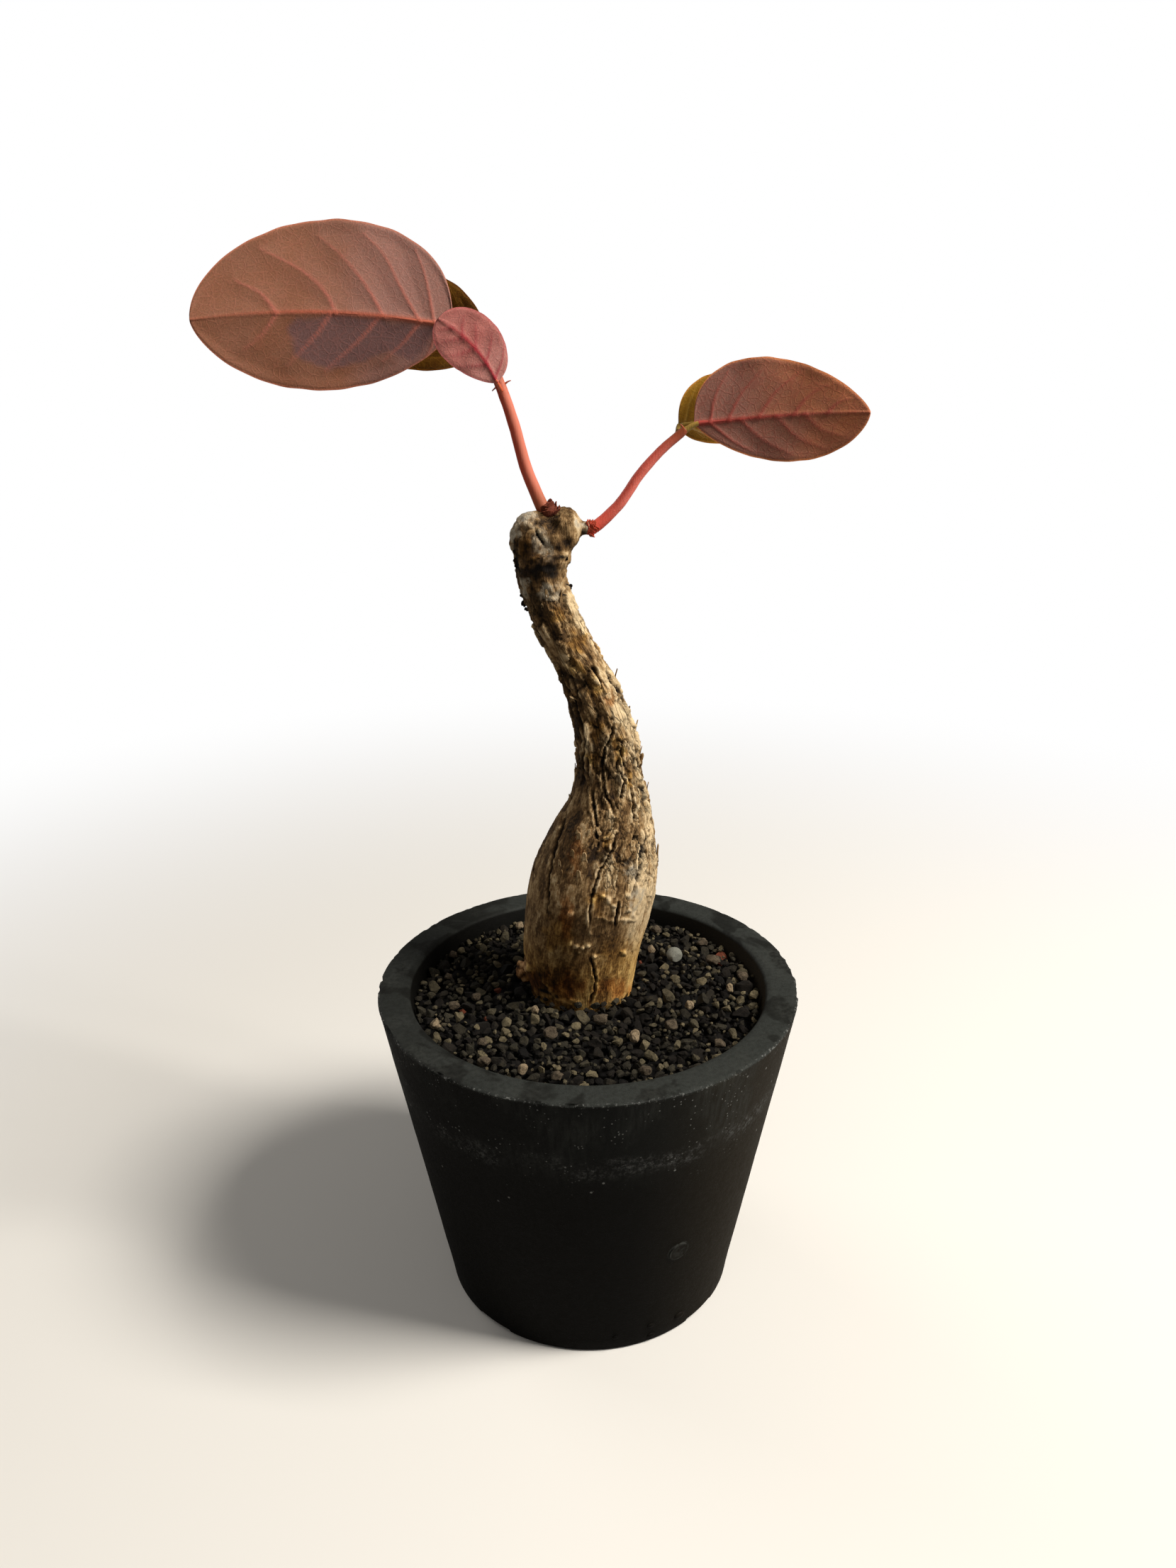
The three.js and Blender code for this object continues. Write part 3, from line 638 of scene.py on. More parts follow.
def pot_clay(settings, size):
    """Matt black clay: a greyer rim with stains, wiped streaks, a scuffed band and pale specks."""
    material, w, shader = coating("Pot clay", Specular_IOR_Level=0.07)
    place = w.place()
    axes = w.add("SeparateXYZ", {0: place}).outputs
    flat = w.add("CombineXYZ", {0: axes["X"], 1: axes["Y"]}).outputs[0]
    radius = w.add("VectorMath", {0: flat}, operation="LENGTH").outputs["Value"]
    at = {"place": place, "across": axes["X"], "height": axes["Z"], "radius": radius}
    outside = clay_span(w, at, "outside")
    on_rim = clay_span(w, at, "rim")
    wall = w.effect("grain", place, Size=0.0016, Dark=settings.wall_colour, Light=settings.wall_light)
    colour = clay_ground(w, at, wall, on_rim, settings)
    streaks = w.effect("fibre", place, Width=0.0012, Length=0.02)["Mask"]
    cloud = w.spread(w.noise(place, 16.0, 3.0), 0.42, 0.62)
    wiped = w.times(streaks, clay_span(w, at, "wiped"), outside, cloud, 0.45)
    colour = w.mix(wiped, colour, settings.streak_colour)
    scuff = scuffed_band(w, at, outside)
    colour = w.mix(w.times(scuff, 0.75), colour, settings.scuff_colour)
    colour = w.mix(mould_print(w, at, size), colour, settings.streak_colour)
    colour = w.mix(mineral_specks(w, at, w.minus(outside, on_rim)), colour, settings.speck_colour)
    edge = w.times(clay_span(w, at, "worn_edge"), clay_span(w, at, "worn_top"))
    worn = w.times(edge, w.spread(w.noise(place, 0.8, 4.0, 0.7), 0.52, 0.68), 0.5)
    w.feed(shader["Base Color"], w.mix(worn, colour, settings.speck_colour))
    w.feed(shader["Roughness"], w.spread(wall["Height"], 0.2, 0.9, 0.5, 0.72))
    relief(w, shader, w.plus(wall["Height"], w.times(scuff, 0.4)), 0.12, 0.8)
    return material


def stone_coat(name, dark, light, grain_mm, depth_mm=0.25):
    material, w, shader = coating(name, Roughness=0.93, Specular_IOR_Level=0.2)
    grain = w.effect("grain", w.place(), Size=grain_mm * MM, Dark=dark, Light=light)
    w.feed(shader["Base Color"], grain["Color"])
    relief(w, shader, grain["Height"], depth_mm)
    return material


def grit_coat(settings):
    """Mixed lava and pumice: each grain carries its own tone from black-brown to tan."""
    material, w, shader = coating("Grit grains", Roughness=0.95, Specular_IOR_Level=0.2)
    place = w.place()
    grain = w.effect("grain", place, Size=0.0011, Dark=(0.35, 0.35, 0.35, 1), Light=(1.35, 1.3, 1.25, 1))
    tones = w.ramp(w.value("tone"), [
        (0.0, settings.darkest), (0.4, settings.brown), (0.68, settings.grey), (0.88, settings.tan),
        (1.0, settings.rust),
    ])
    colour = w.mix(1.0, tones, grain["Color"], "MULTIPLY")
    w.feed(shader["Base Color"], colour)
    relief(w, shader, grain["Height"], 0.3)
    return material


def net_coat():
    material, w, shader = coating("Net plastic", Specular_IOR_Level=0.4)
    grain = w.effect("grain", w.place(), Size=0.0008, Dark=tint(20, 20, 20), Light=tint(36, 36, 34))
    w.feed(shader["Base Color"], grain["Color"])
    w.feed(shader["Roughness"], w.spread(grain["Height"], 0.2, 0.8, 0.45, 0.7))
    relief(w, shader, grain["Height"], 0.05)
    return material


def bark_coat(settings):
    """Fissured bark: plate tones, fine cracks, hues of the weathered skins and a waxy crown."""
    material, w, shader = coating("Bark", Specular_IOR_Level=0.2)
    along = w.vector("straight")
    strands = w.effect("fibre", along, Width=0.00035, Length=0.0045)["Mask"]
    flecks = w.noise(along, 0.8, 4.0, 0.7)
    tone = w.plus(w.value("tone"), w.swing(flecks, 0.8))
    tone = w.plus(tone, w.swing(strands, 0.2))
    colour = w.ramp(tone, [
        (0.0, settings.dark), (0.36, settings.brown), (0.62, settings.tan), (0.95, settings.pale),
    ])
    for name in ("gold", "rust", "grey"):
        colour = w.mix(w.value(name), colour, getattr(settings, name), "MULTIPLY")
    # The wax patches on the crown's top-left edge and left outline also carry a painted highlight
    wax_share = w.times(w.value("wax"), w.spread(w.noise(along, 1.3, 4.0, 0.65), 0.28, 0.56))
    colour = w.mix(wax_share, colour, settings.wax)

    rough = w.value("rough")
    net = w.effect("cracks", along, Width=0.0013, Length=0.0042)["Mask"]
    fine = w.times(net, rough)
    deep = w.maths("MAXIMUM", w.value("crack"), w.value("black"))
    crack = w.maths("MAXIMUM", deep, w.times(fine, 0.66))
    # Fissures and fine cracks are painted near black: partly the darker bark inside them, partly painted
    # shade in their depth
    colour = w.mix(crack, colour, settings.crack)
    w.feed(shader["Base Color"], colour)
    w.feed(shader["Roughness"], w.spread(wax_share, 0.0, 1.0, 0.88, 0.55))
    height = w.plus(w.times(flecks, 0.6), w.times(strands, 0.4))
    height = w.minus(height, w.times(fine, 0.9))
    relief(w, shader, height, 0.25, 0.9)
    return material


def scale_coat(name, dark, light):
    material, w, shader = coating(name, Roughness=0.7, Specular_IOR_Level=0.3)
    place = w.place()
    strands = w.effect("fibre", place, Width=0.0002, Length=0.0012)["Mask"]
    share = w.times(w.plus(strands, w.value("tip")), 0.5)
    w.feed(shader["Base Color"], w.mix(share, dark, light))
    relief(w, shader, strands, 0.1)
    return material


def shoot_coat(name, shaded, lit, top, foot, heights):
    """A young stem: painted lit and shaded sides, greener towards its top and browner at its foot.

    heights are those of the foot, of the top, and how far below the top its colour sets in, in millimetres.
    """
    material, w, shader = coating(
        name, Roughness=0.5, Specular_IOR_Level=0.35, Subsurface_Weight=0.08, Subsurface_Scale=0.0008,
        Subsurface_Radius=(1.0, 0.25, 0.15),
    )
    place = w.place()
    height = w.add("SeparateXYZ", {0: place}).outputs["Z"]
    low, high, browning = (value * MM for value in heights)
    strands = w.effect("fibre", place, Width=0.0003, Length=0.003)["Mask"]
    # Painted light and shade: side tells how far each point faces the key light
    side = w.plus(w.value("side"), w.swing(strands, 0.14))
    colour = w.mix(w.spread(side, 0.2, 0.85), shaded, lit)
    colour = w.mix(w.spread(height, high - browning, high + MM), colour, top)
    colour = w.mix(w.spread(height, low, low + 7 * MM, 0.7, 0.0), colour, foot)
    dots = w.effect("specks", place, Spacing=0.0007, Share=0.3, Reach=0.3)["Mask"]
    colour = w.mix(w.times(dots, 0.14), colour, lit)
    w.feed(shader["Base Color"], colour)
    relief(w, shader, w.plus(strands, dots), 0.02)
    return material


def leaf_coat(name, look):
    """A thin leaf: its upper and lower face, base tint, veins, fine net, margin and any painted shadow of a
    leaf behind.
    """
    material, w, shader = coating(
        name, Specular_IOR_Level=0.22, Subsurface_Weight=0.12, Subsurface_Scale=0.0005,
        Subsurface_Radius=(1.0, 0.4, 0.25),
    )
    blade = w.vector("blade")
    under = w.value("under")
    net = w.effect("net", blade, Cell=look["net"] * MM)["Mask"]
    cloud = w.spread(w.noise(blade, 9.0, 3.0), 0.3, 0.7)
    body = w.mix(cloud, look["under_a"], look["under_b"])
    body = w.mix(w.value("blush"), body, look["under_base"])
    top = w.mix(cloud, look["upper_a"], look["upper_b"])
    colour = w.mix(under, top, body)
    # Painted shadow: where the far leaf behind blocks the light through the large leaf
    colour = w.mix(w.times(w.value("far_leaf_shadow"), 0.9), colour, look["far_leaf_shadow"])
    fine = w.noise(blade, 0.35, 2.0)
    colour = w.mix(w.times(net, look["net_strength"]), colour, look["vein"])
    vein_share = w.times(w.value("vein"), look["vein_strength"])
    colour = w.mix(vein_share, colour, look["vein"])
    colour = w.mix(w.value("midrib"), colour, look["midrib"])
    # The margin tint is partly the leaf's own edge colour and partly a painted glow of light through the
    # thin edge
    colour = w.mix(w.times(w.value("margin"), look["margin_strength"]), colour, look["margin"])
    grained = w.mix(w.spread(fine, 0.3, 0.7), (0.86, 0.86, 0.86, 1), (1.12, 1.12, 1.12, 1))
    w.feed(shader["Base Color"], w.mix(1.0, colour, grained, "MULTIPLY"))
    w.feed(shader["Roughness"], w.spread(under, 0.0, 1.0, 0.42, 0.68))
    height = w.plus(w.times(net, 0.7), w.times(fine, 0.3))
    relief(w, shader, height, 0.035)
    return material


# Shaping


def deselect():
    bpy.ops.object.select_all(action="DESELECT")


def added(add, **options):
    """Adds one primitive with nothing else selected, and hands it back."""
    deselect()
    add(**options)
    return bpy.context.active_object


def activate(piece):
    deselect()
    piece.select_set(True)
    bpy.context.view_layer.objects.active = piece


def apply(piece, kind, **options):
    """Adds a modifier, sets it and applies it."""
    activate(piece)
    bpy.ops.object.modifier_add(type=kind)
    modifier = piece.modifiers[-1]
    for option, value in options.items():
        setattr(modifier, option, value)
    bpy.ops.object.modifier_apply(modifier=modifier.name)


def join(pieces):
    deselect()
    for piece in pieces:
        piece.select_set(True)
    bpy.context.view_layer.objects.active = pieces[0]
    if len(pieces) > 1:
        bpy.ops.object.join()
    return pieces[0]


def duplicate(piece):
    """A copy with a mesh of its own."""
    activate(piece)
    bpy.ops.object.duplicate()
    return bpy.context.active_object


def corners(piece):
    count = len(piece.data.vertices)
    places = np.empty(count * 3)
    piece.data.vertices.foreach_get("co", places)
    return places.reshape(-1, 3)


def normals(piece):
    count = len(piece.data.vertices)
    directions = np.empty(count * 3)
    piece.data.vertex_normals.foreach_get("vector", directions)
    return directions.reshape(-1, 3)


def move_corners(piece, places):
    piece.data.vertices.foreach_set("co", np.asarray(places, float).ravel())
    piece.data.update()


def note(piece, name, values, kind="FLOAT"):
    """Keeps a value or vector for each corner of a piece, for its material to read."""
    attribute = piece.data.attributes.get(name) or piece.data.attributes.new(name, kind, "POINT")
    field = "value" if kind == "FLOAT" else "vector"
    attribute.data.foreach_set(field, np.asarray(values, np.float32).ravel())


def recall(piece, name):
    values = np.empty(len(piece.data.vertices), np.float32)
    piece.data.attributes[name].data.foreach_get("value", values)
    return values


def settle(piece, name, nodes, materials):
    """Brings a finished piece from millimetres to metres, names it and hands it to the frame."""
    activate(piece)
    piece.scale = (MM, MM, MM)
    piece.location = Vector(piece.location) * MM
    bpy.ops.object.transform_apply(location=True, rotation=True, scale=True)
    piece.name = name
    piece.data.name = name
    bands = np.zeros(len(piece.data.polygons), np.int32)
    piece.data.polygons.foreach_get("material_index", bands)
    piece.data.materials.clear()
    for material in materials:
        piece.data.materials.append(material)
    piece.data.polygons.foreach_set("material_index", np.minimum(bands, len(materials) - 1))
    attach(piece, BODY)
    if nodes:
        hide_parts(*nodes)
    return piece


def smooth_path(points, count):
    """Evenly counted points along a smooth curve through the given ones, in any number of columns."""
    given = np.array(points, float)
    padded = np.vstack([2 * given[0] - given[1], given, 2 * given[-1] - given[-2]])
    spots = np.linspace(0, len(given) - 1, count)
    start = np.minimum(spots.astype(int), len(given) - 2)
    t = (spots - start)[:, None]
    a, b, c, d = (padded[start + i] for i in range(4))
    return 0.5 * (2 * b + (c - a) * t + (2 * a - 5 * b + 4 * c - d) * t**2 + (3 * b - a - 3 * c + d) * t**3)


def lofted(rings, sides):
    """A closed solid through level rings of (x, y, z, half width, half depth), by extrude and scale."""
    first = rings[0]
    solid = added(
        bpy.ops.mesh.primitive_circle_add, vertices=sides, radius=1.0, fill_type="NGON",
        enter_editmode=True, location=first[:3],
    )
    bpy.ops.transform.resize(value=(first[3], first[4], 1.0), center_override=first[:3])
    for last, ring in zip(rings, rings[1:]):
        step = [ring[i] - last[i] for i in range(3)]
        bpy.ops.mesh.extrude_region_move(TRANSFORM_OT_translate={"value": step})
        grow = (ring[3] / last[3], ring[4] / last[4], 1.0)
        bpy.ops.transform.resize(value=grow, center_override=ring[:3])
    bpy.ops.mesh.select_all(action="SELECT")
    bpy.ops.mesh.normals_make_consistent(inside=False)
    bpy.ops.object.mode_set(mode="OBJECT")
    bpy.ops.object.transform_apply(location=True, rotation=True, scale=True)
    return solid


def tube(points, radii, detail=3):
    """A round bar with closed ends through the points, made from a bevelled curve."""
    bar = added(bpy.ops.curve.primitive_nurbs_path_add)
    curve = bar.data
    curve.splines.clear()
    line = curve.splines.new("POLY")
    line.points.add(len(points) - 1)
    for knot, place, radius in zip(line.points, points, radii):
        knot.co = (*place, 1.0)
        knot.radius = radius
    curve.bevel_depth = 1.0
    curve.bevel_resolution = detail
    curve.use_fill_caps = True
    bpy.ops.object.convert(target="MESH")
    bar = bpy.context.active_object
    bpy.ops.object.mode_set(mode="EDIT")
    bpy.ops.mesh.select_all(action="SELECT")
    bpy.ops.mesh.remove_doubles(threshold=0.001)
    bpy.ops.mesh.normals_make_consistent(inside=False)
    bpy.ops.object.mode_set(mode="OBJECT")
    return bar


def ripple(points, size, octaves=1, seed=0.0):
    """Smooth noise from about -1 to 1 at each point, its swells about size across."""
    shift = Vector((seed * 17.3, seed * 5.7, seed * 11.9))
    scaled = np.asarray(points) / np.asarray(size)
    return np.array([noise.fractal(Vector(p) + shift, 1.0, 2.0, octaves) for p in scaled])


def cells(points, size, seed=0.0):
    """For each point: how deep in its cell it lies, the cell's number (0 to 1) and a slope across it."""
    shift = Vector((seed * 7.1, seed * 3.3, seed * 9.7))
    scaled = np.asarray(points) / np.asarray(size)
    inside = np.empty(len(scaled))
    number = np.empty(len(scaled))
    slope = np.empty(len(scaled))
    for i, p in enumerate(scaled):
        spot = Vector(p) + shift
        distances, places = noise.voronoi(spot)
        seat = places[0]
        inside[i] = distances[1] - distances[0]
        number[i] = (math.sin(seat[0] * 12.99 + seat[1] * 78.23 + seat[2] * 37.72) * 437.585) % 1.0
        off = spot - seat
        turn = number[i] * 2 * math.pi
        slope[i] = off.x * math.cos(turn) + off.y * math.sin(turn) + off.z * (2 * number[i] - 1)
    return inside, number, slope


def ease(values, low, high):
    """0 below low, 1 above high and a smooth rise between them."""
    share = np.clip((np.asarray(values) - low) / (high - low), 0, 1)
    return share * share * (3 - 2 * share)


def photo_pixels(points_mm):
    """Where points of the model fall in the photograph."""
    camera = bpy.context.scene.camera
    to_camera = np.array(camera.matrix_world.inverted()).T
    seen = np.c_[np.asarray(points_mm) * MM, np.ones(len(points_mm))] @ to_camera
    depth = -seen[:, 2]
    across = PHOTO_WIDTH / 2 + FOCAL_PIXELS * seen[:, 0] / depth
    down = PHOTO_HEIGHT / 2 - FOCAL_PIXELS * seen[:, 1] / depth
    return np.c_[across, down]


def distance_to_line(points, line):
    """Distance from each flat point to a broken line, and how far along the line that is, 0 to 1."""
    line = np.array(line, float)
    spans = np.linalg.norm(np.diff(line, axis=0), axis=1)
    reached = np.r_[0, np.cumsum(spans)] / spans.sum()
    nearest = np.full(len(points), np.inf)
    along = np.zeros(len(points))
    for i, (a, b) in enumerate(zip(line, line[1:])):
        way = b - a
        share = np.clip(((points - a) @ way) / (way @ way), 0, 1)
        gap = np.linalg.norm(points - a - share[:, None] * way, axis=1)
        closer = gap < nearest
        nearest[closer] = gap[closer]
        along[closer] = (reached[i] + share * (reached[i + 1] - reached[i]))[closer]
    return nearest, along


def wall_radius(size, height):
    """The pot's outer radius at a height."""
    return size["foot_radius"] + size["slope"] * height


def node_box(node):
    low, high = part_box(node)
    return np.array(low) / MM, np.array(high) / MM


# Settings


class StageSettings(bpy.types.PropertyGroup):
    distance: measure("Camera distance", "From the pot's axis to the camera, level", 274.18)
    height: measure("Camera height", "Above the surface that the pot stands on", 244.55)
    tilt: turning("Camera tilt", "Below level", 0.3741)
    turn: turning("Camera turn", "To the right of straight ahead", 0.0013)
    roll: turning("Camera roll", "About its own view", -0.00656)
    key_power: amount("Key light", "Power of the main light", 15.0, unit="POWER")
    fill_power: amount("Fill light", "Power of the front light", 0.8, unit="POWER")
    back_power: amount("Back light", "Power of the rear light", 3.0, unit="POWER")
    sky: amount("Sky", "Strength of the soft light all round", 0.12, min=0.0)
    floor_colour: swatch("Floor", "Colour of the floor", 233, 229, 222)
    floor_return: amount(
        "Floor return", "Share of its light that the floor gives back to the plant", 0.3, min=0.0, max=1.0
    )
    floor_gloss: amount(
        "Floor in reflections", "Share of its brightness that the floor keeps in reflections", 0.3,
        min=0.0, max=1.0,
    )
    back_colour: swatch("Background", "Colour behind the floor", linear=(1.0, 1.0, 1.0))


class PotSettings(bpy.types.PropertyGroup):
    rim_radius: measure("Rim radius", "Outer radius at the rim", 52.45)
    foot_radius: measure("Foot radius", "Outer radius at the foot", 37.2)
    mouth_radius: measure("Mouth radius", "Inner radius at the rim", POT_MOUTH_RADIUS)
    height: measure("Height", "Foot to rim", 84.0)
    wall_colour: swatch("Wall", "Dark of the wall", 6, 5, 4)
    wall_light: swatch("Wall light", "Light of the wall", 14, 13, 10)
    handled_colour: swatch("Handled", "Greyer upper part of the wall", 24, 25, 23)
    # Painted light on the wall's right flank
    lit_flank_colour: swatch("Dust", "Dusty flank of the wall", 44, 38, 28)
    rim_colour: swatch("Rim", "Dark of the rim", 34, 35, 32)
    rim_light: swatch("Rim light", "Light of the rim", 50, 52, 49)
    streak_colour: swatch("Streaks", "Wipe marks", 60, 61, 57)
    scuff_colour: swatch("Scuffs", "Scuffed band", 98, 98, 95)
    speck_colour: swatch("Specks", "Mineral specks and worn edge", 150, 150, 145)


class GritSettings(bpy.types.PropertyGroup):
    large: tally("Large grains", "Grains over 3 mm", 360)
    middle: tally("Middle grains", "Grains of 2 to 3 mm", 800)
    small: tally("Small grains", "Grains under 2 mm", 1500)
    seed: tally("Seed", "Changes how the grains fall", 7)
    darkest: swatch("Darkest", "Darkest grains", 11, 9, 7)
    brown: swatch("Brown", "Most of the grains", 25, 21, 16)
    grey: swatch("Grey", "Greyer grains", 46, 43, 34)
    tan: swatch("Tan", "Tan grains", 94, 86, 66)
    rust: swatch("Rust", "The few reddish grains", 96, 50, 34)


class TrunkSettings(bpy.types.PropertyGroup):
    voxel: measure("Mesh size", "Size of the bark's mesh", 0.375)
    relief: amount("Relief", "How strongly the bark stands out", 1.0, min=0.0)
    flakes: tally("Flakes", "Loose flakes on the bark", 90)
    dark: swatch("Dark", "Darkest bark", 40, 27, 14)
    brown: swatch("Brown", "Brown bark", 104, 77, 45)
    tan: swatch("Tan", "Tan bark", 164, 132, 90)
    pale: swatch("Pale", "Palest flakes", 226, 198, 154)
    gold: swatch("Gold", "Hue of golden skin", linear=(1.0, 0.85, 0.5))
    rust: swatch("Rust", "Hue of red-brown skin", linear=(0.86, 0.62, 0.44))
    grey: swatch("Grey", "Hue of weathered bark", linear=(0.95, 0.98, 1.0))
    wax: swatch("Wax", "Waxy crown skin", 188, 174, 150)
    # The crack colour is partly the darker bark inside the fissures and partly painted shade in their depth
    crack: swatch("Crack", "Inside of the fissures", 17, 11, 7)


class ShootSettings(bpy.types.PropertyGroup):
    salmon: swatch("Salmon", "Lit side of the left shoot", 210, 120, 96)
    brick: swatch("Brick", "Shaded side of the left shoot", 200, 66, 34)
    # Crimson and scarlet are the painted shaded and lit sides of the right shoot
    crimson: swatch("Crimson", "Upper side of the right shoot", 236, 72, 44)
    scarlet: swatch("Scarlet", "Lower side of the right shoot", 252, 134, 118)
    olive: swatch("Olive", "Top of a shoot", 150, 72, 34)
    maroon: swatch("Maroon", "Left bud scales, dark", 78, 27, 14)
    maroon_light: swatch("Maroon light", "Left bud scales, light", 134, 64, 38)
    red: swatch("Red", "Right bud scales, dark", 142, 39, 20)
    red_light: swatch("Red light", "Right bud scales, light", 212, 88, 58)


class LeafSettings(bpy.types.PropertyGroup):
    rows: tally("Mesh rows", "Mesh rows along the largest blade", 150, 20)
    underside: swatch("Underside", "Underside of the large leaf", 139, 93, 70)
    pink: swatch("Pink", "The small young leaf", 170, 98, 90)
    brick: swatch("Brick", "Underside of the right leaf", 158, 100, 72)
    olive: swatch("Olive", "Upper face of the far leaves", 124, 82, 20)
    bronze: swatch("Bronze", "Upper face of the near leaves", 104, 70, 38)


# Pieces


class BONSAI_OT_stage(bpy.types.Operator):
    """Sets the camera, the soft lights and the pale floor"""

    bl_idname = "bonsai.stage"
    bl_label = "Stage"

    def execute(self, context):
        settings = context.scene.bonsai_stage
        self.camera(context.scene, settings)
        self.lights(settings)
        self.sky(context.scene, settings)
        self.floor(settings)
        context.scene.view_settings.view_transform = "Standard"
        return {"FINISHED"}

    def camera(self, scene, settings):
        camera = added(bpy.ops.object.camera_add, location=(0, -settings.distance, settings.height))
        turn = Matrix.Rotation(-settings.turn, 4, "Z")
        tilt = Matrix.Rotation(math.pi / 2 - settings.tilt, 4, "X")
        roll = Matrix.Rotation(settings.roll, 4, "Z")
        camera.rotation_euler = (turn @ tilt @ roll).to_euler()
        camera.data.sensor_width = SENSOR_MM
        camera.data.lens = FOCAL_PIXELS / PHOTO_HEIGHT * SENSOR_MM
        camera.data.clip_start = 0.01
        scene.camera = camera
        bpy.context.view_layer.update()

    def lights(self, settings):
        target = Vector((0, 0, 0.11))
        lamps = [
            ("key_light", (0.64, -0.2, 0.74), 1.0, 0.34, settings.key_power, (1.0, 0.965, 0.91)),
            ("fill_light", (-0.20, -0.75, 0.62), 1.2, 0.9, settings.fill_power, (1.0, 0.98, 0.96)),
            ("back_light", (-0.80, 0.62, 0.52), 1.2, 0.7, settings.back_power, (1.0, 0.98, 0.95)),
        ]
        for name, way, reach, size, power, colour in lamps:
            place = target + Vector(way).normalized() * reach
            lamp = added(bpy.ops.object.light_add, type="AREA", location=place)
            lamp.name = name
            lamp.rotation_euler = (place - target).to_track_quat("Z", "Y").to_euler()
            lamp.data.size = size
            lamp.data.energy = power
            lamp.data.color = colour

    def sky(self, scene, settings):
        world = bpy.data.worlds.new("Soft sky")
        world.use_nodes = True
        w = Wiring(world.node_tree)
        soft = world.node_tree.nodes["Background"]
        soft.inputs["Color"].default_value = (1.0, 0.985, 0.96, 1.0)
        soft.inputs["Strength"].default_value = settings.sky
        back = w.add("Background", {"Color": settings.back_colour, "Strength": 1.0})
        seen = w.add("LightPath").outputs["Is Camera Ray"]
        both = w.add("MixShader", {0: seen, 1: soft.outputs[0], 2: back.outputs[0]})
        w.feed(world.node_tree.nodes["World Output"].inputs["Surface"], both.outputs[0])
        scene.world = world

    def floor(self, settings):
        floor = added(bpy.ops.mesh.primitive_circle_add, vertices=96, radius=6.0, fill_type="NGON")
        floor.name = "floor"
        material, w, shader = coating("Floor", Roughness=0.8, Specular_IOR_Level=0.1)
        rays = w.add("LightPath").outputs
        seen = rays["Is Camera Ray"]
        returned = [channel * settings.floor_return for channel in settings.floor_colour[:3]]
        shown = w.maths("MAXIMUM", seen, w.times(rays["Is Glossy Ray"], settings.floor_gloss))
        w.feed(shader["Base Color"], w.mix(shown, (*returned, 1.0), settings.floor_colour))
        far = w.add("VectorMath", {0: w.place()}, operation="LENGTH").outputs["Value"]
        fade = w.spread(far, 0.16, 0.52)
        glow = w.add("Emission", {"Color": settings.back_colour, "Strength": 1.0})
        tree = material.node_tree
        both = w.add("MixShader", {
            0: w.times(fade, seen), 1: tree.nodes["Principled BSDF"].outputs[0], 2: glow.outputs[0],
        })
        w.feed(tree.nodes["Material Output"].inputs["Surface"], both.outputs[0])
        floor.data.materials.append(material)


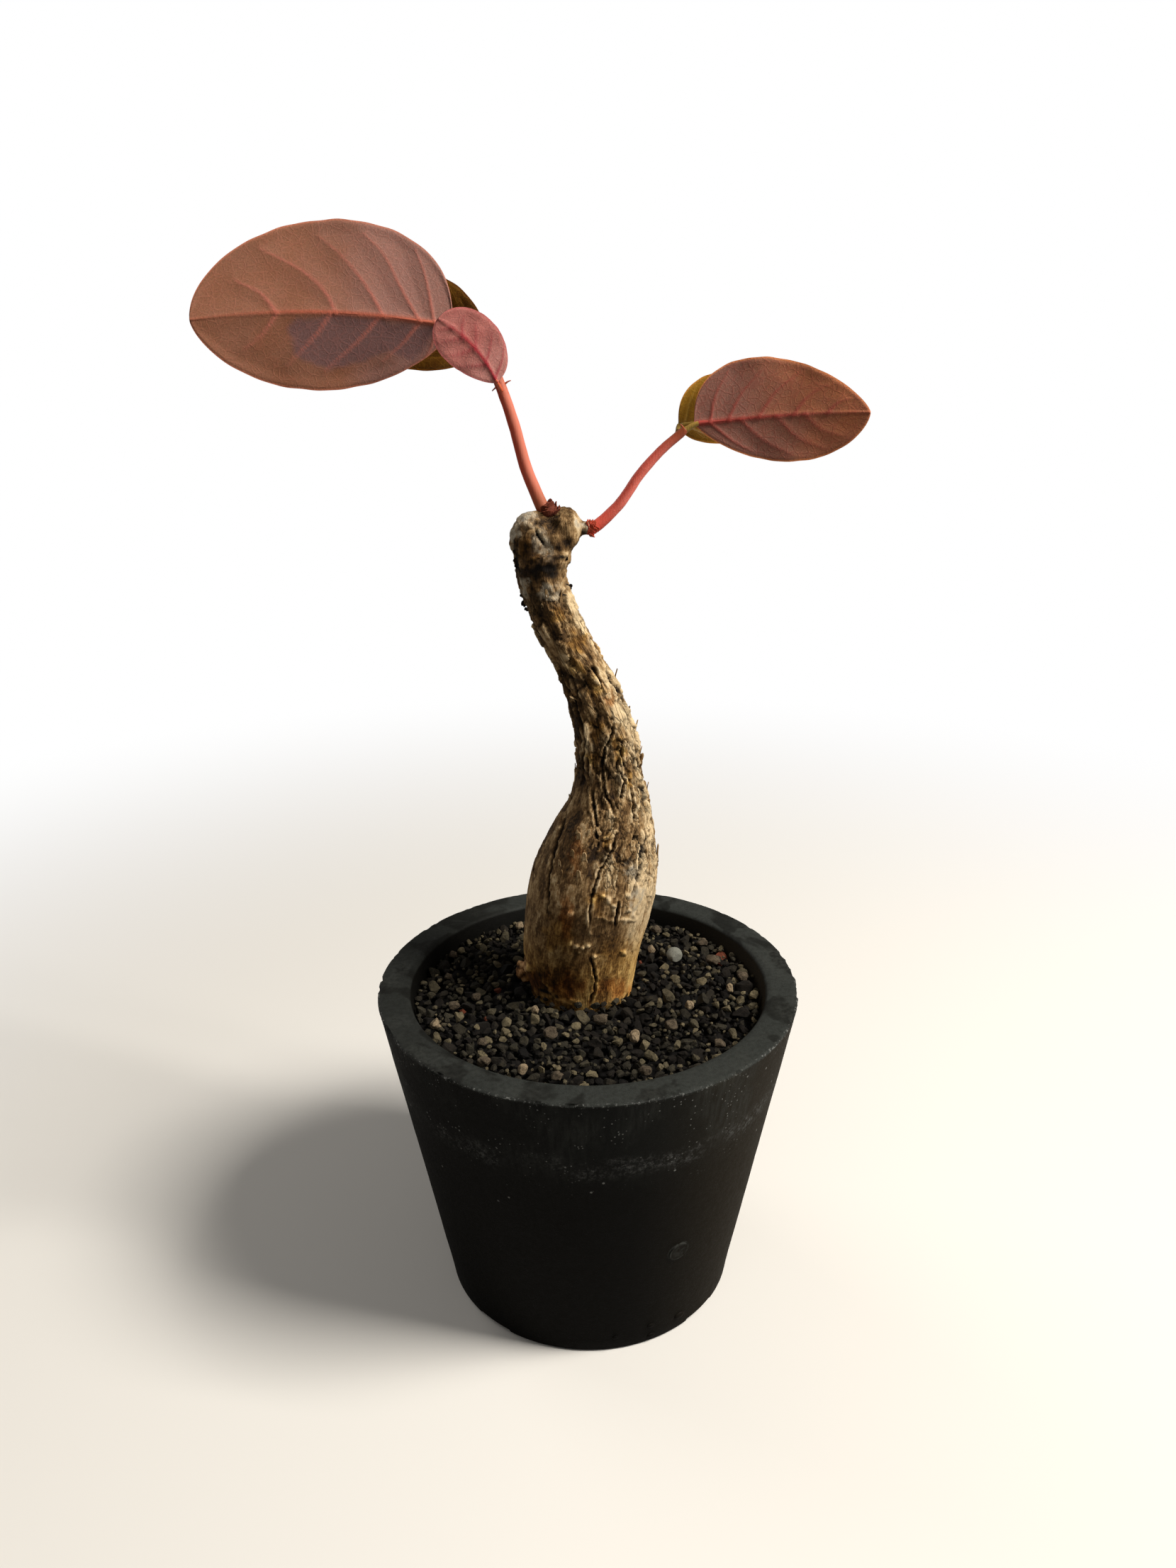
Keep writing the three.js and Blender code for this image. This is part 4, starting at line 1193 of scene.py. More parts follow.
class BONSAI_OT_pot(bpy.types.Operator):
    """Turns the tapered pot, cuts its drain holes and gives it its marks and worn edge"""

    bl_idname = "bonsai.pot"
    bl_label = "Pot"

    def execute(self, context):
        settings = context.scene.bonsai_pot
        names = ("rim_radius", "foot_radius", "mouth_radius", "height")
        size = {name: getattr(settings, name) / MM for name in names}
        size["slope"] = (size["rim_radius"] - size["foot_radius"]) / size["height"]
        pot = lofted(self.profile(size), POT_SIDES)
        self.roughen(pot, size)
        for mark in self.marks(size):
            apply(pot, "BOOLEAN", operation="UNION", object=mark, solver="EXACT")
            bpy.data.objects.remove(mark)
        for tool in self.drain_tools(size):
            apply(pot, "BOOLEAN", operation="DIFFERENCE", object=tool, solver="EXACT")
            bpy.data.objects.remove(tool)
        activate(pot)
        bpy.ops.object.shade_smooth_by_angle(angle=math.radians(35))
        settle(pot, "tapered_pot", ["pot"], [pot_clay(settings, size)])
        return {"FINISHED"}

    def profile(self, size):
        """Level rings up the outside, over the rim and down the inside."""
        top = size["height"]
        outer = np.linspace(0.8, top - 0.9, 28)
        inner = np.linspace(top - 0.9, POT_FLOOR + 2, 24)
        inner_slope = (size["mouth_radius"] - POT_INNER_FLOOR_RADIUS) / (top - POT_FLOOR)
        rim, mouth = size["rim_radius"], size["mouth_radius"]
        rows = [(size["foot_radius"] - 0.9, 0.0), (size["foot_radius"] - 0.2, 0.25)]
        rows += [(wall_radius(size, z), z) for z in outer]
        rows += [(rim - 0.12, top - 0.45), (rim - 0.35, top - 0.14), (rim - 0.75, top - 0.02)]
        rows += [(rim - POT_RIM_WIDTH * share, top) for share in (0.2, 0.35, 0.5, 0.65, 0.8)]
        rows += [(mouth + 0.55, top - 0.03), (mouth + 0.2, top - 0.2), (mouth, top - 0.55)]
        rows += [(mouth - inner_slope * (top - z), z) for z in inner]
        rows += [(POT_INNER_FLOOR_RADIUS - 0.8, POT_FLOOR + 0.4), (POT_INNER_FLOOR_RADIUS - 2.2, POT_FLOOR)]
        return [(0.0, 0.0, z, radius, radius) for radius, z in rows]

    def roughen(self, pot, size):
        """Slight unevenness all over, and chips along the rim's outer edge."""
        places = corners(pot)
        rim, high = size["rim_radius"], size["height"]
        radius = np.hypot(places[:, 0], places[:, 1])
        outward = np.c_[places[:, 0], places[:, 1], np.zeros(len(places))] / radius[:, None]
        wave = 0.1 * ripple(places, 24, 2) + 0.035 * ripple(places, 3.2, 3, 2)
        side = ease(places[:, 2], 1.5, 5) * (places[:, 2] < high - 0.5)
        moved = places + outward * ((wave - 0.08) * side)[:, None]
        rim_edge = ease(radius, rim - 0.9, rim - 0.3) * ease(places[:, 2], high - 1.2, high - 0.4)
        chips = np.maximum(0, ripple(places, (2.6, 2.6, 6), 3, 5) - 0.12) * rim_edge
        moved -= outward * (0.9 * chips)[:, None]
        moved[:, 2] -= 0.5 * chips
        top = places[:, 2] > high - 0.3
        moved[:, 2] -= top * (0.05 + 0.05 * ripple(places, 6, 2, 3))
        move_corners(pot, moved)

    def on_wall(self, piece, turn, height, size):
        """Stands a mark on the outer wall, facing out."""
        radius = wall_radius(size, height)
        angle = math.radians(turn)
        place = Vector((math.sin(angle) * radius, -math.cos(angle) * radius, height))
        out = Vector((math.sin(angle), -math.cos(angle), -size["slope"])).normalized()
        piece.matrix_world = Matrix.Translation(place) @ out.to_track_quat("Z", "Y").to_matrix().to_4x4()
        bpy.ops.object.transform_apply(location=True, rotation=True, scale=True)
        return piece

    def marks(self, size):
        """A shallow round mould mark with a raised edge, and blisters low on the wall."""
        radius = MOULD_MARK["radius"]
        disc = added(bpy.ops.mesh.primitive_cylinder_add, vertices=48, radius=radius, depth=0.5)
        bpy.ops.object.mode_set(mode="EDIT")
        bm = bmesh.from_edit_mesh(disc.data)
        for face in bm.faces:
            face.select_set(face.normal.z > 0.9)
        bm.select_flush_mode()
        bmesh.update_edit_mesh(disc.data)
        bpy.ops.mesh.inset(thickness=0.3, depth=-0.16)
        bpy.ops.mesh.inset(thickness=0.5, depth=-0.02)
        bpy.ops.object.mode_set(mode="OBJECT")
        made = [self.on_wall(disc, MOULD_MARK["turn"], MOULD_MARK["height"], size)]
        for entry in BLISTERS:
            radius = entry["radius"]
            bump = added(bpy.ops.mesh.primitive_uv_sphere_add, segments=20, ring_count=12, radius=radius)
            bpy.ops.transform.resize(value=(1.0, 0.7, 0.36), center_override=(0, 0, 0))
            bpy.ops.object.transform_apply(location=True, rotation=True, scale=True)
            made.append(self.on_wall(bump, entry["turn"], entry["height"], size))
        return made

    def drain_tools(self, size):
        """The cutters for the four drain holes and the channels that lead out from them."""
        holes, channels = [], []
        reach = size["foot_radius"] * 1.2 - DRAIN_CIRCLE_RADIUS
        for i in range(4):
            angle = math.radians(DRAIN_FIRST_ANGLE + 90 * i)
            way = Vector((math.cos(angle), math.sin(angle), 0))
            holes.append(added(
                bpy.ops.mesh.primitive_cylinder_add, vertices=40, radius=DRAIN_HOLE_RADIUS,
                depth=POT_FLOOR * 3, location=way * DRAIN_CIRCLE_RADIUS,
            ))
            middle = way * (DRAIN_CIRCLE_RADIUS + reach / 2)
            channel = added(bpy.ops.mesh.primitive_cube_add, size=1, location=middle, rotation=(0, 0, angle))
            channel.scale = (reach, DRAIN_CHANNEL_WIDTH, DRAIN_CHANNEL_DEPTH * 2)
            apply(channel, "BEVEL", width=0.05, segments=3)
            channels.append(channel)
        return [join(holes), join(channels)]


class BONSAI_OT_drainage(bpy.types.Operator):
    """Gives the net over the drain holes and the gravel on it their finish"""

    bl_idname = "bonsai.drainage"
    bl_label = "Net and gravel"

    def execute(self, context):
        net = net_coat()
        gravel = stone_coat("Drainage gravel", tint(70, 62, 54), tint(140, 128, 112), 5.0, 2.0)
        for node, material in (("drain_net", net), ("drainage_gravel", gravel)):
            piece = frame["nodes"][node]
            piece.data.materials.clear()
            piece.data.materials.append(material)
        return {"FINISHED"}


class BONSAI_OT_trunk(bpy.types.Operator):
    """Grows the caudex with its crown, roots, fissured bark and loose flakes"""

    bl_idname = "bonsai.trunk"
    bl_label = "Trunk"

    def execute(self, context):
        settings = context.scene.bonsai_trunk
        random.seed(11)
        body = self.body(settings)
        self.bark(body, settings.relief)
        flakes = self.flakes(body, settings.flakes)
        trunk = join([body, *flakes, *self.buried()])
        activate(trunk)
        bpy.ops.object.shade_smooth()
        settle(trunk, "caudex", ["trunk"], [bark_coat(settings)])
        return {"FINISHED"}

    def body(self, settings):
        """The caudex above the grit, its crown knobs and root stub as one fine closed mesh."""
        rings = [
            (x, y, z, half, half * TRUNK_DEPTH_RATIO)
            for z, x, y, half in smooth_path(TRUNK_STATIONS, 90)
            if z > TRUNK_FINE_FROM
        ]
        parts = [lofted(rings, 48)]
        for knob in CROWN_KNOBS:
            middle = knob["at"]
            ball = added(bpy.ops.mesh.primitive_uv_sphere_add, segments=32, ring_count=20, location=middle)
            bpy.ops.transform.resize(value=knob["half"], center_override=middle)
            parts.append(ball)
        stub = smooth_path(ROOT_STUB, 9)
        parts.append(tube(stub[:, :3], stub[:, 3], 5))
        body = join(parts)
        bpy.ops.object.transform_apply(location=True, rotation=True, scale=True)
        apply(body, "REMESH", mode="VOXEL", voxel_size=settings.voxel / MM)
        apply(body, "SMOOTH", factor=0.6, iterations=9)
        return body

    def buried(self):
        """The buried foot and main roots, out of sight in the grit."""
        rings = [
            (x, y, z, half * 0.985, half * TRUNK_DEPTH_RATIO * 0.985)
            for z, x, y, half in smooth_path(TRUNK_STATIONS, 60)
            if z < TRUNK_FINE_FROM + 4
        ]
        parts = [lofted(rings, 32)]
        for angle, reach, radius in ROOTS:
            turn = math.radians(angle)
            shares = [(0.1, 70), (0.42, 64), (0.75, 54), (1.0, 38)]
            path = [
                (-1.4 + math.cos(turn) * reach * share, 6 + math.sin(turn) * reach * share, height)
                for share, height in shares
            ]
            widths = [radius * share for share in (1.3, 1.0, 0.7, 0.35)]
            spots = smooth_path([(*place, width) for place, width in zip(path, widths)], 14)
            parts.append(tube(spots[:, :3], spots[:, 3], 3))
        for part in parts:
            places = corners(part)
            note(part, "straight", places * MM, "FLOAT_VECTOR")
            note(part, "tone", 0.4 + 0.2 * ripple(places, 6, 2))
        return parts

    def bark(self, body, strength):
        """Pushes the smooth body into bark and notes what its material needs."""
        at = self.survey(body)
        self.plates(at)
        self.fissures(at)
        self.marks(at)
        self.skins(at)
        depth = np.clip(self.relief(at) * strength, -1.6, 1.1)
        move_corners(body, at.places + at.outward * depth[:, None])
        # Where the fissures lie; their near-black colour is partly painted shade
        crack = 0.85 * at.wide + 0.45 * at.narrow + at.split + 0.2 * at.ring
        note(body, "straight", at.straight * MM, "FLOAT_VECTOR")
        note(body, "crack", np.clip(crack, 0, 1))
        note(body, "tone", np.clip(self.tones(at, depth), 0, 1))
        note(body, "rough", np.clip(at.rough + 0.12, 0, 1))
        for kind in ("gold", "rust", "grey", "wax", "black"):
            note(body, kind, np.clip(at.skins[kind], 0, 1))

    def survey(self, body):
        """Where each point of the smooth body lies: on the plant, in the photograph and in its zones."""
        places = corners(body)
        outward = normals(body)
        axis = smooth_path(TRUNK_STATIONS, 240)
        height = places[:, 2]
        centre = [np.interp(height, axis[:, 0], axis[:, column]) for column in (1, 2)]
        straight = np.c_[places[:, :2] - np.transpose(centre), height]
        sight = np.array(bpy.context.scene.camera.location) / MM - places
        distance = np.linalg.norm(sight, axis=1)
        pixels = photo_pixels(places)
        at = SimpleNamespace(places=places, outward=outward, height=height, straight=straight, pixels=pixels)
        at.scale = FOCAL_PIXELS / distance
        at.facing = (sight * outward).sum(1) / distance
        at.front = at.facing > 0
        at.traced = pixels + np.c_[ripple(straight, 1.6, 2, 9), ripple(straight, 1.6, 2, 10)] * 2.2
        at.crown = ease(height, 182, 191)
        at.neck = ease(height, 174, 180) * (1 - ease(height, 189, 193))
        at.foot = 1 - ease(height, 88, 104)
        at.stub = ease(-places[:, 0], 14.5, 16) * (1 - ease(height, 87, 91))
        # Faces turned right, towards the key light, where the bark's tone is painted lighter as painted
        # light
        at.lit = ease(outward[:, 0], 0.3, 0.9)
        at.sheltered = (1 - ease(pixels[:, 0], 822, 848)) * ease(pixels[:, 1], 1085, 1135) * at.front
        flaky = ease(pixels[:, 0], 840, 866) * (1 - ease(pixels[:, 1], 1225, 1310)) * at.front
        flaky = np.maximum(flaky, (1 - at.front) * ease(ripple(straight, 14, 1, 23), 0.0, 0.3))
        rough = np.interp(height, BARK_ROUGHNESS["heights"], BARK_ROUGHNESS["shares"])
        rough = np.clip(rough + 0.42 * flaky * ease(height, 92, 104) * (1 - at.crown), 0, 1)
        at.rough = rough * (1 - 0.8 * at.sheltered)
        return at

    def plates(self, at):
        """Two sizes of bark plate, and the cracks round them."""
        straight = at.straight
        warp = np.c_[ripple(straight, 5, 2, 1), ripple(straight, 5, 2, 2), ripple(straight, 6, 1, 3)]
        fray = np.c_[ripple(straight, 1.4, 2, 4), ripple(straight, 1.4, 2, 5), ripple(straight, 2, 1, 6)]
        bent = straight + warp * (1.5, 1.5, 3.0) + fray * (0.35, 0.35, 0.8)
        plate_edge, at.plate, at.plate_slope = cells(bent, (3.5, 3.5, 9.6), 1)
        chip_edge, at.chip, at.chip_slope = cells(bent, (1.7, 1.7, 3.7), 2)
        where_wide = ease(ripple(straight, (6, 6, 14), 1, 7), -0.3, 0.15)
        where_narrow = ease(ripple(straight, 4, 1, 8), -0.25, 0.2)
        at.wide = at.rough * (1 - ease(plate_edge, 0.01, 0.13)) * where_wide
        at.narrow = at.rough * (1 - ease(chip_edge, 0.0, 0.15)) * where_narrow

    def fissures(self, at):
        """The long fissures and the lips beside them."""
        split = np.zeros(len(at.places))
        lip = np.zeros(len(at.places))
        for line in FISSURES:
            gap, along = distance_to_line(at.traced, line)
            gap = gap / at.scale
            fade = ease(along, -0.05, 0.15) * (1 - ease(along, 0.8, 1.05)) + 0.25
            split = np.maximum(split, (1 - ease(gap, 0.08, 0.36)) * fade)
            lip = np.maximum(lip, np.exp(-(((gap - 0.62) / 0.28) ** 2)) * fade)
        at.split = split * ease(at.facing, 0.04, 0.24) * (1 - 0.3 * at.sheltered)
        at.lip = lip * (1 - 0.75 * at.sheltered) * at.front

    def marks(self, at):
        """Raised lines, warts, and the ring round the cut stub of the crown."""
        ledge = np.zeros(len(at.places))
        for line in RIDGES:
            gap, _ = distance_to_line(at.traced, line)
            ledge = np.maximum(ledge, np.exp(-((gap / at.scale / 0.4) ** 2)))
        wart = np.zeros(len(at.places))
        for x, y, reach in WARTS:
            gap = np.hypot(*(at.traced - (x, y)).T) / reach
            wart = np.maximum(wart, np.maximum(0, 1 - gap * gap))
        x, y, half_width, half_height = CUT_STUB
        reach = np.hypot((at.traced[:, 0] - x) / half_width, (at.traced[:, 1] - y) / half_height)
        ring = np.exp(-(((reach - 1) / 0.12) ** 2))
        ring = np.maximum(ring, 0.45 * np.exp(-(((reach - 0.62) / 0.09) ** 2)))
        at.ledge = ledge * at.front
        at.wart = wart * at.front
        at.ring = ring * ease(at.facing, 0.25, 0.55) * at.crown

    def skins(self, at):
        """How strongly each kind of skin shows: as in the photograph in front, and in its manner behind."""
        straight = at.straight
        skins = {kind: np.zeros(len(at.places)) for kind in BARK_PATCHES}
        drift = at.pixels + np.c_[ripple(straight, 3, 4, 11), ripple(straight, 3, 4, 12)] * 12.0
        for kind, patches in BARK_PATCHES.items():
            for x, y, half_width, half_height, lean in patches:
                turn = math.radians(lean)
                off = drift - (x, y)
                across = (off[:, 0] * math.cos(turn) + off[:, 1] * math.sin(turn)) / half_width
                down = (off[:, 1] * math.cos(turn) - off[:, 0] * math.sin(turn)) / half_height
                reach = 1 - ease(np.hypot(across, down), 0.45, 1.35)
                skins[kind] = np.maximum(skins[kind], reach * at.front)
        broad = ripple(straight, (7, 7, 18), 3, 13)
        rusty = ease(ripple(straight, (8, 8, 16), 3, 14), 0.1, 0.5) * ease(130 - at.height, 0, 15)
        behind = {
            "grey": 0.8 * ease(broad, 0.0, 0.5),
            "gold": 0.8 * ease(-broad, 0.0, 0.5),
            "rust": 0.8 * rusty,
            "wax": ease(ripple(straight, 4, 2, 15), -0.1, 0.3) * at.crown,
        }
        for kind, share in behind.items():
            skins[kind] = np.maximum(skins[kind], share * ~at.front)
        skins["gold"] = np.maximum(skins["gold"], at.foot) * (1 - at.stub)
        skins["rust"] = np.maximum(skins["rust"], at.stub * 0.8)
        at.skins = skins

    def relief(self, at):
        """How far the bark stands out from the smooth body, in millimetres."""
        straight = at.straight
        knobbly = at.crown * (0.3 * ripple(straight, 1.5, 3, 16) + 0.2 * ripple(straight, 3.5, 2, 17))
        creased = 0.22 * ripple(straight, (7, 7, 1.1), 2, 26) + 0.2 * ripple(straight, 1.2, 3, 27)
        wide, narrow = ripple(straight, (2.4, 2.4, 7), 2, 18), ripple(straight, (0.8, 0.8, 3), 2, 19)
        plates = 0.36 * (at.plate - 0.5) + 0.55 * at.plate_slope + 0.16 * wide
        chips = 0.2 * (at.chip - 0.5) + 0.26 * at.chip_slope + 0.14 * narrow
        depth = at.rough * (plates + chips) + knobbly + at.neck * creased
        depth += 0.05 * ripple(straight, (0.8, 0.8, 2.5), 2, 20)
        depth += 0.16 * ripple(straight, (4, 4, 16), 2, 24) * (1 - at.crown)
        depth -= 0.6 * at.wide + 0.28 * at.narrow + 0.3 * at.ring + 0.7 * at.split + 0.32 * at.rough
        depth += 0.28 * at.lip * (1 - at.crown) + 0.3 * at.ledge + 0.5 * at.wart
        return depth + at.stub * (0.75 * ripple(straight, 2.2, 3, 28) - 0.1)

    def tones(self, at, depth):
        """How light the bark is, from 0 for the darkest to 1 for the palest, with painted light and shade on
        its relief and its lit side.
        """
        straight = at.straight
        crown, front = at.crown, at.front
        tone = 0.49 + 0.26 * (at.plate - 0.5) + 0.24 * (at.chip - 0.5)
        tone += 0.2 * ripple(straight, (2.5, 2.5, 6), 3, 21) + 0.14 * ripple(straight, (0.8, 0.8, 2), 2, 25)
        # Painted shade and highlight: sunken bark is painted darker and raised bark lighter
        tone += (0.5 - 0.25 * crown) * np.clip(depth, -0.4, 0.5) + 0.16 * at.rough
        # The lips beside the fissures are painted lighter: a painted highlight along their edges
        tone += 0.3 * at.wart + 0.15 * at.ledge + 0.2 * at.lip
        # The dark patches include painted shade under the bud scales and under the right knob
        tone += 0.14 * at.skins["wax"] - 0.3 * at.skins["dark"] + 0.09 * at.foot - 0.24 * at.stub
        # Painted light: in front, the bark is lighter on its right side, which faces the key light
        tone += (0.34 * at.lit - 0.03) * front
        # Painted shade: a little darker on the left side, away from the key light
        shaded = ease(-at.outward[:, 0], -0.2, 0.6) * ease(at.height, 118, 130)
        tone -= 0.03 * shaded * front * (1 - crown)
        tone -= (0.17 * crown * (1 - at.skins["wax"]) + 0.06 * at.neck) * front
        # Painted light: the waist of the trunk is lighter still on its lit right side
        waist = np.exp(-(((at.height - 110) / 12) ** 2)) * front
        return tone + waist * (0.22 * at.lit - 0.02)

    def flake_form(self):
        """One curled flake of bark, lying along Z with its free end up and its face towards -Y."""
        flake = added(bpy.ops.mesh.primitive_grid_add, x_subdivisions=3, y_subdivisions=6, size=1.0)
        places = corners(flake)
        along = places[:, 1] + 0.5
        width = 0.5 * np.sin(np.pi * (0.18 + 0.72 * along)) * (1 + 0.25 * np.sin(along * 9))
        curl = 0.16 * along**2 + 0.12 * np.abs(places[:, 0]) - 0.05
        move_corners(flake, np.c_[places[:, 0] * 2 * width, -curl, along - 0.4])
        apply(flake, "SOLIDIFY", thickness=0.05, offset=0)
        return flake

    def flakes(self, body, count):
        """Copies of the flake set on the bark: on the outline where they show, and scattered."""
        form = self.flake_form()
        shape = corners(form)
        places = corners(body)
        outward = normals(body)
        pixels = photo_pixels(places)
        front = ((np.array(bpy.context.scene.camera.location) / MM - places) * outward).sum(1) > -3
        seats = []
        for x, y, length, turn in OUTLINE_FLAKES:
            spot = int((np.hypot(*(pixels - (x, y)).T) + 1e3 * ~front).argmin())
            if y < BLACK_FLAKES_ABOVE:
                seats.append((spot, length, 0, 0.12, 50, True))
            else:
                seats.append((spot, length, turn, 0.4, 12, False))
        options = np.flatnonzero((places[:, 2] > 112) & (places[:, 2] < 184))
        for _ in range(count):
            spot = int(random.choice(options))
            length, turn = random.uniform(1.6, 3.4), random.gauss(0, 14)
            seats.append((spot, length, turn, 0.55, abs(random.gauss(0, 12)), False))
        made = []
        for spot, length, turn, tone, stance, black in seats:
            out = Vector(outward[spot])
            up = Vector((0, 0, 1)) - out * out.z
            up.rotate(Quaternion(out, math.radians(turn)))
            up.normalize()
            side = up.cross(out)
            stand = Quaternion(side, math.radians(stance))
            up.rotate(stand)
            out.rotate(stand)
            if black:
                roll = Quaternion(up, math.radians(random.uniform(60, 110)))
                side.rotate(roll)
                out.rotate(roll)
            facing = Matrix((side, -out, up)).transposed()
            width = length * random.uniform(0.32, 0.5) * (2.6 if black else 1.0)
            flake = duplicate(form)
            local = shape * (width, length * 0.8, length)
            placed = local @ np.array(facing).T + places[spot] - outward[spot] * 0.08
            move_corners(flake, placed)
            whole = len(shape)
            note(flake, "straight", placed * MM, "FLOAT_VECTOR")
            note(flake, "tone", np.full(whole, tone + random.uniform(-0.15, 0.25)))
            note(flake, "grey", np.full(whole, random.choice([0.0, 0.0, 0.5])))
            note(flake, "black", np.full(whole, 0.85 if black else 0.0))
            made.append(flake)
        bpy.data.objects.remove(form)
        return made


class BONSAI_OT_grit(bpy.types.Operator):
    """Lays the bed of grit, drops its grains and sets the larger stones on it"""

    bl_idname = "bonsai.grit"
    bl_label = "Grit and stones"

    def execute(self, context):
        settings = context.scene.bonsai_grit
        random.seed(settings.seed)
        coat = grit_coat(settings)
        forms = [self.grain_form(i, 2) for i in range(10)]
        crumbs = [self.grain_form(20 + i, 1) for i in range(6)]
        self.bed(coat)
        self.stones()
        grains = self.drop(settings, forms, crumbs)
        for name, share in (("grit_coarse", grains[0]), ("grit_fine", grains[1])):
            piece = self.merged(share)
            settle(piece, name, ["soil"], [coat])
        for form in forms + crumbs:
            bpy.data.objects.remove(form)
        return {"FINISHED"}

    def surface(self, radius, lower=0.0):
        """The height of the grit at a distance from the pot's axis."""
        return SOIL_CROWN + (SOIL_EDGE - SOIL_CROWN) * (radius / POT_MOUTH_RADIUS) ** 2 - lower

    def wall(self, height):
        """The radius of the bed, just inside the pot's wall."""
        widening = POT_MOUTH_RADIUS - POT_INNER_FLOOR_RADIUS
        return POT_INNER_FLOOR_RADIUS + widening * (height - POT_FLOOR) / POT_INNER_DEPTH - 0.3

    def bed(self, coat):
        """The body of grit below the loose grains, with room for the trunk, in the darkest grit tone as
        painted shade in the gaps between grains.
        """
        rings = [(self.wall(height), height) for height in np.linspace(GRAVEL_TOP, 76.0, 8)]
        rings += [(radius, self.surface(radius, BED_DEPTH)) for radius in (42.6, 36, 30, 24, 18, 12, 6)]
        bed = lofted([(0, 0, height, radius, radius) for radius, height in rings], 96)
        room = self.trunk_copy()
        apply(bed, "BOOLEAN", operation="DIFFERENCE", object=room, solver="EXACT")
        bpy.data.objects.remove(room)
        # Painted shade: the bed takes the darkest tone, so the gaps between grains look black
        note(bed, "tone", np.zeros(len(bed.data.vertices)))
        settle(bed, "grit_bed", ["soil"], [coat])

    def trunk_copy(self):
        """A copy of the trunk of the frame, in millimetres and with its seams closed."""
        copy = duplicate(frame["nodes"]["trunk"])
        copy.parent = None
        copy.data.materials.clear()
        copy.scale = (1 / MM, 1 / MM, 1 / MM)
        bpy.ops.object.transform_apply(location=True, rotation=True, scale=True)
        bpy.ops.object.mode_set(mode="EDIT")
        bpy.ops.mesh.select_all(action="SELECT")
        bpy.ops.mesh.remove_doubles(threshold=0.0005)
        bpy.ops.object.mode_set(mode="OBJECT")
        return copy

    def cut_flats(self, places, roll, count, levels, bite):
        """Cuts flats in random directions on the points of a ball, each at a level in the given span."""
        for _ in range(count):
            way = np.array(Vector([roll.gauss(0, 1) for _ in range(3)]).normalized())
            over = np.maximum(0, places @ way - roll.uniform(*levels))
            places -= over[:, None] * way * bite

    def grain_form(self, seed, fineness):
        """One rough grain about 1 across: a ball with flats cut on it and its corners knocked about."""
        grain = added(bpy.ops.mesh.primitive_ico_sphere_add, subdivisions=fineness, radius=0.5)
        roll = random.Random(seed)
        places = corners(grain)
        self.cut_flats(places, roll, 9 if fineness > 1 else 4, (0.2, 0.37), 0.95)
        stretch = (1.0, roll.uniform(0.7, 0.95), roll.uniform(0.6, 0.85))
        bumps = 1.08 + 0.2 * ripple(places, 0.3, 2, seed)
        move_corners(grain, places * stretch * bumps[:, None])
        return grain

    def stones(self):
        """The larger stones, each shaped to its place in the frame."""
        coats = {
            "stone_dark": stone_coat("Dark lava", tint(32, 26, 20), tint(92, 80, 64), 1.0),
            "stone_tan": stone_coat("Tan pumice", tint(60, 50, 38), tint(142, 124, 98), 1.1),
            "stone_pale": stone_coat("Pale pebble", tint(92, 92, 84), tint(122, 121, 110), 1.6, 0.12),
        }
        slots = {part["node"]: part["material_slot"] for part in frame["record"]["subparts"]}
        self.resting = []
        for node in sorted(frame["nodes"]):
            if node.startswith("stone_") or node == "pale_pebble":
                low, high = node_box(node)
                stone = self.stone(low, high, smooth=node == "pale_pebble")
                self.resting.append(((low + high) / 2, (high - low) / 2))
                name = node.replace("stone", "loose_stone")
                settle(stone, name, [node], [coats[slots[node]]])

    def stone(self, low, high, smooth):
        """One stone that fills the box from low to high. A smooth one is larger and lies a bit higher."""
        stone = added(bpy.ops.mesh.primitive_ico_sphere_add, subdivisions=4, radius=0.5)
        places = corners(stone)
        seed = int(low[0] * 10) % 97
        self.cut_flats(places, random.Random(seed), 2 if smooth else 8, (0.3, 0.42), 0.9)
        rough = 0.03 if smooth else 0.13
        swells, pits = ripple(places, 0.3, 3, seed), ripple(places, 0.09, 2, seed)
        places *= (1 + rough * swells + rough * 0.4 * pits)[:, None]
        span = places.max(0) - places.min(0)
        places = (places - places.min(0)) / span * (high - low) + low
        if smooth:
            middle = (low + high) / 2
            places = (places - middle) * 1.25 + middle + (0, 0, 0.5)
        move_corners(stone, places)
        bpy.ops.object.shade_smooth()
        return stone

    def ground(self):
        """A height map of the bed and its stones, with the trunk so high that no grain rests there."""
        cell, half = 0.4, 45.0
        line = -half + (np.arange(int(2 * half / cell)) + 0.5) * cell
        x, y = np.meshgrid(line, line, indexing="ij")
        land = self.surface(np.hypot(x, y), BED_DEPTH)
        for middle, size in self.resting:
            inside = ((x - middle[0]) / size[0]) ** 2 + ((y - middle[1]) / size[1]) ** 2 < 0.8
            land[inside] = middle[2] + size[2]
        middle, half = TRUNK_FOOTPRINT["middle"], TRUNK_FOOTPRINT["half"]
        trunk = ((x - middle[0]) / half[0]) ** 2 + ((y - middle[1]) / half[1]) ** 2 < 1
        stub = (x > STUB_FOOTPRINT["left"]) & (x < STUB_FOOTPRINT["right"])
        stub &= np.abs(y - STUB_FOOTPRINT["middle"]) < STUB_FOOTPRINT["half"]
        land[trunk | stub] = 95.0
        return SimpleNamespace(line=line, x=x, y=y, land=land)

